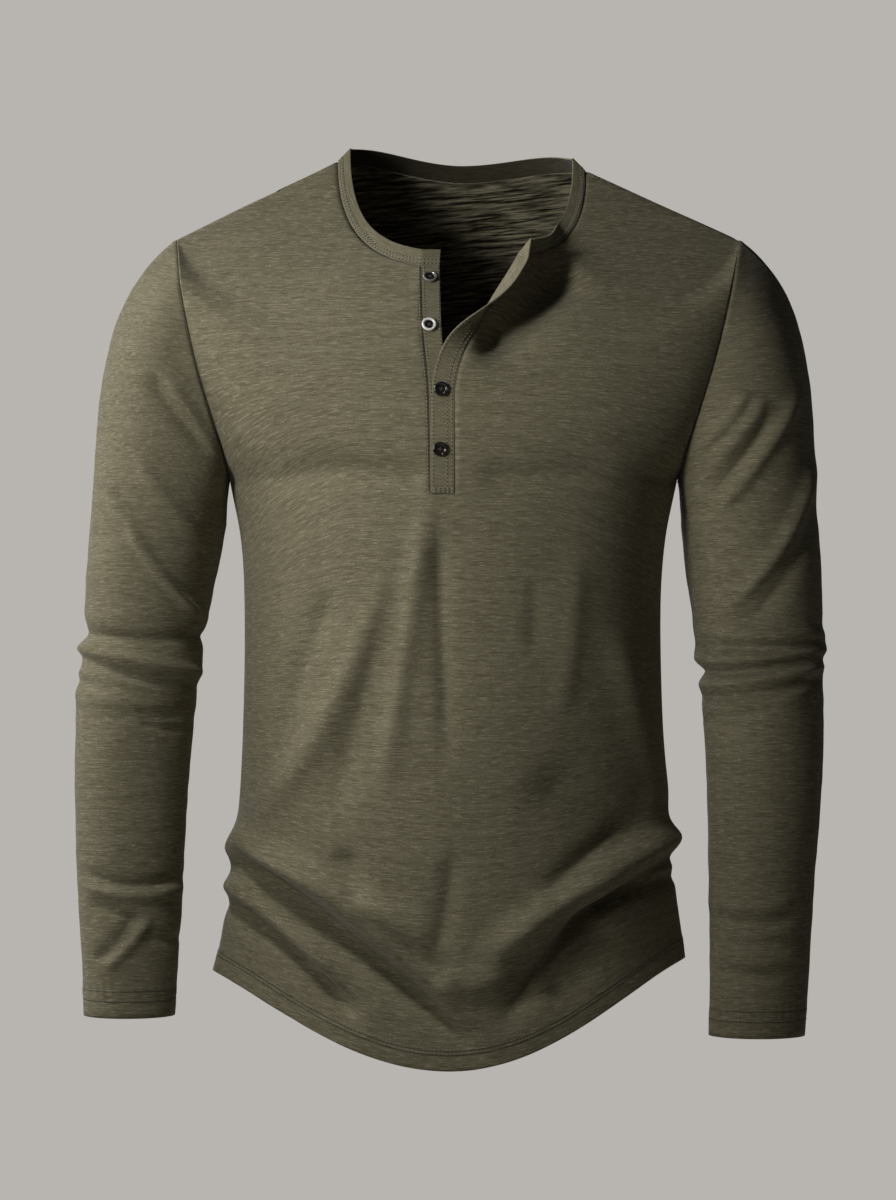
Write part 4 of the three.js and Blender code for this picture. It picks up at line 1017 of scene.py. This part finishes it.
def stitched(name, lines, material, loops=()):
    """Rows of straight stitches with a near-black ball of painted shade for the needle hole between
    them, and rows of slanted loops.
    """
    size = (STITCH / 2, STITCH_WIDTH, STITCH_WIDTH * 0.8)
    straight = [place for line in lines
                for place in stitch_places(*line, STITCH, STITCH_GAP, size)]
    # Each needle hole is a flat near-black ball: painted shade where the thread dives into the cloth.
    holes = [place for line in lines
             for place in stitch_places(*line, STITCH, STITCH_GAP, HOLE_SHADE_SIZE, 0.0, 0.5)][:-1]
    slanted = [place for line in loops
               for place in stitch_places(*line, LOOP, LOOP_GAP, LOOP_SIZE, 1.0)]
    print(name, "has", len(straight) + len(slanted), "stitches")
    return copies(name, (straight + slanted, grain(), material), (holes, grain(), NEEDLE_HOLE_SHADE))


def thread(name, colour):
    material, nodes, links, shader = new_material(name)
    place = nodes.new("ShaderNodeTexCoord")
    twist = nodes.new("ShaderNodeTexNoise")
    twist.inputs["Scale"].default_value = 1400
    links.new(place.outputs["Object"], twist.inputs["Vector"])
    dark = tuple(c * 0.7 for c in colour[:3]) + (1.0,)
    links.new(blend(nodes, links, twist.outputs["Fac"], dark, colour), shader.inputs["Base Color"])
    shader.inputs["Roughness"].default_value = 0.7
    shader.inputs["Sheen Weight"].default_value = 0.2
    return material


OLIVE_THREAD = thread("olive_thread", srgb(166, 161, 136))
DARK_THREAD = thread("dark_thread", srgb(84, 79, 60))
# Near black: painted shade for the needle holes and the buttonhole slits.
NEEDLE_HOLE_SHADE = thread("needle_hole_painted_shade", srgb(26, 23, 14))

# %% Rows of topstitching
placket_rows = slice(PLACKET_ROW, None)
beside_slit = sheet_of("front", placket_rows, slice(0, RIGHT_ROOT + 1))
band, under, over = sheet_of("band"), sheet_of("under"), sheet_of("over")
stitching = [
    stitched("hem_stitching", [line_inside(sheet_of(name), "bottom", at)
                               for name in ("front", "back") for at in HEM_STITCH], DARK_THREAD),
    stitched("cuff_stitching_right", [line_inside(sheet_of("sleeve_right"), "bottom", at)
                                      for at in CUFF_STITCH], DARK_THREAD),
    stitched("cuff_stitching_left", [line_inside(sheet_of("sleeve_left"), "bottom", at)
                                     for at in CUFF_STITCH], DARK_THREAD),
    stitched("neckband_stitching", [line_inside(band, "bottom", at) for at in (2.0, 5.2)],
             OLIVE_THREAD, [line_inside(band, "bottom", 3.6)]),
    stitched("placket_under_stitching",
             [line_inside(beside_slit, "last", 1.8), line_inside(under, "first", 2.0),
              line_inside(under, "last", 1.3)], OLIVE_THREAD),
    stitched("placket_over_stitching",
             [line_inside(over, "last", at) for at in (1.8, 5.4)] + [line_inside(over, "first", 1.3)]
             + [line_inside(over, "bottom", at) for at in (1.3, 3.4)], OLIVE_THREAD),
]

# %% [markdown]
# ## Buttons
# Each button is turned like a real one: half its outline is spun about its axis, which gives a
# raised rim and a dished face. The rims of two of them are coloured pale, one grey and one near
# white: painted highlights where the glossy resin would catch the light.
# Four holes are cut through the dish with a boolean, since a painted hole has no depth to catch
# the light. Thread crosses between the holes, and winds into a short shank that holds the
# button off the cloth.

# %% Where each button is sewn
BUTTONS = {
    "button_1": (-14.2, -108, "under"), "button_2": (-14.9, -147, "under"),
    "button_3": (-5.4, -197, "over"), "button_4": (-6.2, -244, "over"),
}
BUTTON_RADIUS, BUTTON_HEIGHT, BUTTON_GAP = 5.75, 2.6, 0.35


def seat_of(x, z, strip):
    """The place on a strip under a button, and the way the strip faces there."""
    grid = cloth[strip]
    side = grid[:, 0]
    r = int(np.clip(np.searchsorted(side[:, 2], z) - 1, 0, len(side) - 2))
    t = (z - side[r, 2]) / (side[r + 1, 2] - side[r, 2])
    a, b = lerp(side[r], side[r + 1], t), lerp(grid[r, -1], grid[r + 1, -1], t)
    place = lerp(a, b, (x - a[0]) / (b[0] - a[0]))
    out = Vector(np.cross(b - a, side[r + 1] - side[r])).normalized()
    return Vector(place), out


# %% Turning a button
def outline_vertices(bm, outline):
    """The half outline of a button as joined vertices, out from its axis in x and up in z."""
    row = [bm.verts.new((x * MM, 0, z * MM)) for x, z in outline]
    return row + [bm.edges.new(pair) for pair in zip(row, row[1:])]


def turned_mesh(name, outline, steps):
    bm = bmesh.new()
    bmesh.ops.spin(bm, geom=outline_vertices(bm, outline), axis=(0, 0, 1), cent=(0, 0, 0),
                   angle=2 * math.pi, steps=steps, use_merge=True)
    bmesh.ops.remove_doubles(bm, verts=bm.verts, dist=1e-7)
    bmesh.ops.recalc_face_normals(bm, faces=bm.faces)
    mesh = bpy.data.meshes.new(name)
    bm.to_mesh(mesh)
    bm.free()
    return mesh


def button_outline():
    r, h = BUTTON_RADIUS, BUTTON_HEIGHT
    return [(0, 0), (r - 1.2, 0), (r - 0.5, 0.25), (r - 0.1, 0.8), (r, 1.5), (r - 0.15, h - 0.45),
            (r - 0.5, h - 0.12), (r - 0.95, h), (r - 1.4, h - 0.08), (r - 1.8, h - 0.4),
            (r - 2.1, h - 0.85), (r - 2.5, h - 1.1), (r - 3.4, h - 1.25), (0, h - 1.25)]


HOLE_RADIUS, HOLE_REACH, HIGHLIGHT_RIM_WIDTH = 0.75, 1.45, 2.1


def button_place(seat, out, quarter_turn):
    """Where a button stands: off the cloth by its thread, facing out, turned about its axis."""
    facing_out = out.to_track_quat("Z", "Y").to_matrix().to_4x4()
    return (Matrix.Translation((seat + out * BUTTON_GAP) * MM) @ facing_out
            @ Matrix.Rotation(quarter_turn, 4, "Z"))


def holed_button(name, seat, out, quarter_turn):
    mesh = turned_mesh(name, button_outline(), 48)
    piece = bpy.data.objects.new(name, mesh)
    bpy.context.collection.objects.link(piece)
    bm = bmesh.new()
    for k in range(4):
        angle = math.pi / 4 + k * math.pi / 2
        centre = Vector((math.cos(angle), math.sin(angle), 0)) * HOLE_REACH * MM
        bmesh.ops.create_cone(bm, cap_ends=True, segments=16, radius1=HOLE_RADIUS * MM,
                              radius2=HOLE_RADIUS * MM, depth=8 * MM, matrix=Matrix.Translation(centre))
    drill_mesh = bpy.data.meshes.new("drill")
    bm.to_mesh(drill_mesh)
    bm.free()
    drill = bpy.data.objects.new("drill", drill_mesh)
    bpy.context.collection.objects.link(drill)
    cut = piece.modifiers.new("holes", "BOOLEAN")
    cut.operation, cut.object, cut.solver = "DIFFERENCE", drill, "EXACT"
    done = bpy.data.meshes.new_from_object(piece.evaluated_get(bpy.context.evaluated_depsgraph_get()))
    piece.modifiers.clear()
    piece.data = done
    done.name = name
    bpy.data.objects.remove(drill)
    bpy.data.meshes.remove(drill_mesh)
    done.transform(button_place(seat, out, quarter_turn))
    for face in done.polygons:
        face.use_smooth = True
    done.set_sharp_from_angle(angle=math.radians(40))
    # Faces near the edge take the rim material, which on buttons 1 and 2 is a painted highlight.
    for face in done.polygons:
        from_axis = (face.center / MM - seat).cross(out).length
        face.material_index = int(from_axis > BUTTON_RADIUS - HIGHLIGHT_RIM_WIDTH)
    print(name, "has", len(done.polygons), "faces and four holes")
    return piece


def button_thread(name, seat, out, quarter_turn):
    """Two crossing stitches over the dish, and the wound shank between button and cloth."""
    base = button_place(seat, out, quarter_turn)
    bars = [base @ Matrix.Rotation(angle, 4, "Z") @ Matrix.Translation((0, shift * MM, 1.45 * MM))
            @ Matrix.Diagonal((1.75, 0.17, 0.22, 1))
            for angle in (math.pi / 4, 3 * math.pi / 4) for shift in (-0.22, 0.0, 0.22)]
    rings = [base @ Matrix.Translation((0, 0, (-0.3 + 0.2 * k) * MM))
             @ Matrix.Diagonal((1.9, 1.9, 0.16, 1)) for k in range(4)]
    return copies(name, (bars + rings, grain(12, 6), DARK_THREAD))


def resin(name, colour):
    """Polished resin with faint clouds in it."""
    material, nodes, links, shader = new_material(name)
    place = nodes.new("ShaderNodeTexCoord")
    clouds = nodes.new("ShaderNodeTexNoise")
    clouds.inputs["Scale"].default_value = 420
    links.new(place.outputs["Object"], clouds.inputs["Vector"])
    brown = tuple(min(1, c * 2.6) for c in colour[:3]) + (1.0,)
    links.new(blend(nodes, links, clouds.outputs["Fac"], colour, brown), shader.inputs["Base Color"])
    shader.inputs["Roughness"].default_value = 0.16
    shader.inputs["Coat Weight"].default_value = 0.6
    shader.inputs["Coat Roughness"].default_value = 0.05
    return material


RESIN = resin("button_resin", srgb(22, 19, 16))
# The grey and near-white rims of button_1 and button_2 are painted highlights, the reflection of the key
# light on glossy resin; buttons 3 and 4 keep plain resin.
RIMS_WITH_PAINTED_HIGHLIGHTS = {"button_1": resin("grey_rim_painted_highlight", srgb(88, 86, 80)),
        "button_2": resin("pale_rim_painted_highlight", srgb(226, 224, 218)), "button_3": RESIN, "button_4": RESIN}
button_pieces = {}
for k, (name, (x, z, strip)) in enumerate(BUTTONS.items()):
    seat, out = seat_of(x, z, strip)
    piece = holed_button(name + "_turned", seat, out, 0.25 * k)
    piece.data.materials.append(RESIN)
    piece.data.materials.append(RIMS_WITH_PAINTED_HIGHLIGHTS[name])
    sewn = button_thread(name + "_thread", seat, out, 0.25 * k)
    button_pieces[name] = (piece, sewn)

# %% [markdown]
# ## Buttonholes
# A buttonhole is a slit edged with close zigzag stitches. The four lie in the middle of the
# upper strip, one for each button, and run along it. The two top ones show on the turned-out
# part, so they are worked on both faces of the strip.

# %% Buttonholes along the upper strip
def hole_line(z_middle, length, face_out):
    """A short line along the middle of the upper strip, on its outer or its inner face."""
    grid, normals = cloth["over"], cloth_facing["over"]
    middle = STRIP_COLUMNS // 2
    line, outs = grid[:, middle], normals[:, middle]
    run = np.concatenate([[0], np.cumsum(np.linalg.norm(np.diff(line, axis=0), axis=1))])
    centre = np.interp(z_middle, line[:, 2], run)
    spots = np.linspace(centre - length / 2, centre + length / 2, 9)
    on_line = np.stack([np.interp(spots, run, line[:, k]) for k in range(3)], axis=1)
    away = np.stack([np.interp(spots, run, outs[:, k]) for k in range(3)], axis=1)
    if not face_out:
        on_line, away = on_line - away * 1.25, -away
    return on_line, away


def buttonhole(name, z_middle, faces_out):
    """Close stitches on both sides of a slit, and a near-black ball between them that paints the shade
    in the gap.
    """
    places, slit_shades = [], []
    for face_out in faces_out:
        line, away = hole_line(z_middle, 12.5, face_out)
        run = np.concatenate([[0], np.cumsum(np.linalg.norm(np.diff(line, axis=0), axis=1))])
        for s in np.arange(0.3, run[-1], 0.62):
            place = Vector([np.interp(s, run, line[:, k]) for k in range(3)])
            out = Vector([np.interp(s, run, away[:, k]) for k in range(3)]).normalized()
            along = Vector(line[-1] - line[0]).normalized()
            side = out.cross(along).normalized()
            turn = Matrix((side, along, side.cross(along))).transposed().to_4x4()
            for hand in (-1, 1):
                middle = place + side * (hand * 0.95) + out * 0.1
                places.append(Matrix.Translation(middle * MM) @ turn
                              @ Matrix.Diagonal((0.75, 0.3, 0.28, 1)))
        # The slit is a flat near-black ball: painted shade in the gap.
        middle = Vector(line[len(line) // 2]) + out * 0.1
        slit_shades.append(Matrix.Translation(middle * MM) @ turn @ Matrix.Diagonal((0.3, 5.75, 0.2, 1)))
    return copies(name, (places, grain(), OLIVE_THREAD), (slit_shades, grain(16, 8), NEEDLE_HOLE_SHADE))


BUTTONHOLES = [(-108, (True, False)), (-147, (True, False)), (-197, (True,)), (-244, (True,))]
hole_pieces = [buttonhole(f"buttonhole_{k}", z_middle, faces_out)
               for k, (z_middle, faces_out) in enumerate(BUTTONHOLES, 1)]
print(len(hole_pieces), "buttonholes")

# %% [markdown]
# ## Floor, light and camera
# The shirt hangs as a wearer would hold it, shoulders 1.45 m above a pale floor. Its left side
# is light and its right side falls away, so the large soft light stands at the left, a little
# behind it, where it grazes the cloth and draws every fold. A photographer would then open up
# the chest with a soft spot from the left front, and set another high up so that the swags at
# the hem throw a shadow. The backdrop and the floor look pale, but hardly light the cloth,
# which keeps the shadows deep. The camera stands 3 m off, level, with a long lens.

# %% Floor and backdrop
FLOOR_Z = -1.45
BACKDROP = srgb(184, 181, 176)


def pale_floor():
    bm = bmesh.new()
    bmesh.ops.create_circle(bm, cap_ends=True, segments=96, radius=2.4,
                            matrix=Matrix.Translation((0, 0, FLOOR_Z)))
    mesh = bpy.data.meshes.new("floor")
    bm.to_mesh(mesh)
    bm.free()
    floor = bpy.data.objects.new("floor", mesh)
    bpy.context.collection.objects.link(floor)
    material, nodes, links, shader = new_material("pale_floor")
    place = nodes.new("ShaderNodeTexCoord")
    speckle = nodes.new("ShaderNodeTexNoise")
    speckle.inputs["Scale"].default_value = 60
    links.new(place.outputs["Object"], speckle.inputs["Vector"])
    links.new(blend(nodes, links, speckle.outputs["Fac"], srgb(196, 193, 188), srgb(202, 199, 194)),
              shader.inputs["Base Color"])
    shader.inputs["Roughness"].default_value = 0.95
    shader.inputs["Emission Color"].default_value = BACKDROP
    path = nodes.new("ShaderNodeLightPath")
    seen = maths(nodes, links, "MULTIPLY", path.outputs["Is Camera Ray"], 0.75)
    links.new(seen, shader.inputs["Emission Strength"])
    mesh.materials.append(material)
    return floor


floor = pale_floor()

# %% Soft studio light
FILL_STRENGTH = 0.035


def studio_world():
    """Pale all round for the camera, and a weak even fill for the cloth."""
    world = bpy.data.worlds.new("studio")
    bpy.context.scene.world = world
    world.use_nodes = True
    nodes, links = world.node_tree.nodes, world.node_tree.links
    nodes.clear()
    output = nodes.new("ShaderNodeOutputWorld")
    seen, fill = nodes.new("ShaderNodeBackground"), nodes.new("ShaderNodeBackground")
    seen.inputs["Color"].default_value = BACKDROP
    fill.inputs["Color"].default_value = (1.0, 0.985, 0.96, 1.0)
    fill.inputs["Strength"].default_value = FILL_STRENGTH
    path, mix = nodes.new("ShaderNodeLightPath"), nodes.new("ShaderNodeMixShader")
    links.new(path.outputs["Is Camera Ray"], mix.inputs[0])
    links.new(fill.outputs[0], mix.inputs[1])
    links.new(seen.outputs[0], mix.inputs[2])
    links.new(mix.outputs[0], output.inputs["Surface"])


def aimed(name, light, place, target):
    lamp = bpy.data.objects.new(name, light)
    lamp.location = place
    lamp.rotation_euler = (Vector(target) - Vector(place)).to_track_quat("-Z", "Y").to_euler()
    bpy.context.collection.objects.link(lamp)


def softbox(name, place, target, width, watts):
    light = bpy.data.lights.new(name, "AREA")
    light.shape, light.size, light.energy = "DISK", width, watts
    aimed(name, light, place, target)


def soft_spot(name, place, target, width, watts, cone):
    light = bpy.data.lights.new(name, "SPOT")
    light.shadow_soft_size, light.energy = width, watts
    light.spot_size, light.spot_blend = math.radians(cone), 1.0
    aimed(name, light, place, target)


studio_world()
softbox("side_key", (-2.0, 0.32, 0.72), (0, 0, -0.3), 1.0, 34)
softbox("near_light", (-1.2, -1.1, 0.2), (-0.05, 0, -0.3), 0.8, 7)
soft_spot("chest_light", (-1.4, -1.65, 0.0), (-0.01, -0.1, -0.18), 0.3, 170, 15.5)
soft_spot("hem_light", (-0.6, -0.9, 1.2), (-0.04, -0.08, -0.72), 0.22, 112, 13.5)
softbox("back_light", (-0.7, 2.6, 0.7), (0, 0, -0.3), 1.4, 22)
bpy.context.scene.view_settings.view_transform = "Standard"
print("lights:", ", ".join(light.name for light in bpy.data.lights))

# %% Camera
CAMERA_DISTANCE, CAMERA_HEIGHT = 3.0, -0.36
METRES_PER_PIXEL, FRAME_PIXELS = 0.0008, (896, 1200)
camera_data = bpy.data.cameras.new("camera")
camera_data.lens = camera_data.sensor_width * CAMERA_DISTANCE / (FRAME_PIXELS[1] * METRES_PER_PIXEL)
camera = bpy.data.objects.new("camera", camera_data)
camera.location = (0, -CAMERA_DISTANCE, CAMERA_HEIGHT)
camera.rotation_euler = (math.pi / 2, 0, 0)
bpy.context.collection.objects.link(camera)
bpy.context.scene.camera = camera
print("lens:", round(camera_data.lens, 1), "mm")

# %% [markdown]
# ## Attaching the pieces
# Each piece rides on the one body of the model and stands in for the plain solid under it,
# which is hidden. The table also lists a slot, the flat size and area, how each piece is held
# and what it rests on; nothing in the script reads those columns.

# %% What each piece stands for
CLOTH_ROLES = {
    # piece: model node, slot, flat width and length in metres, flat area, how it is held, on what
    "front": ("front_panel", "jersey", (0.56, 0.735), 0.30, "draped", ["back_panel_cloth"]),
    "back": ("back_panel", "jersey", (0.56, 0.745), 0.31, "draped", ["front_panel_cloth"]),
    "sleeve_right": ("sleeve_right", "jersey", (0.40, 0.63), 0.175, "draped", ["front_panel_cloth"]),
    "sleeve_left": ("sleeve_left", "jersey", (0.40, 0.64), 0.18, "draped", ["front_panel_cloth"]),
    "under": ("placket_under", "jersey_strip", (0.0145, 0.19), None, "stretched", ["front_panel_cloth"]),
    "over": ("placket_over", "jersey_strip", (0.0175, 0.20), None, "stretched", ["front_panel_cloth"]),
    "band": ("neckband", "jersey_strip", (0.0145, 0.52), None, "stretched", ["front_panel_cloth"]),
}
for name, (node, slot, flat, area, held, rests_on) in CLOTH_ROLES.items():
    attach(pieces[name], "root")
    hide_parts(node)
for name, (piece, sewn) in button_pieces.items():
    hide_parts(name)
    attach(piece, "root")
    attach(sewn, "root")
for piece in stitching + hole_pieces:
    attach(piece, "root")
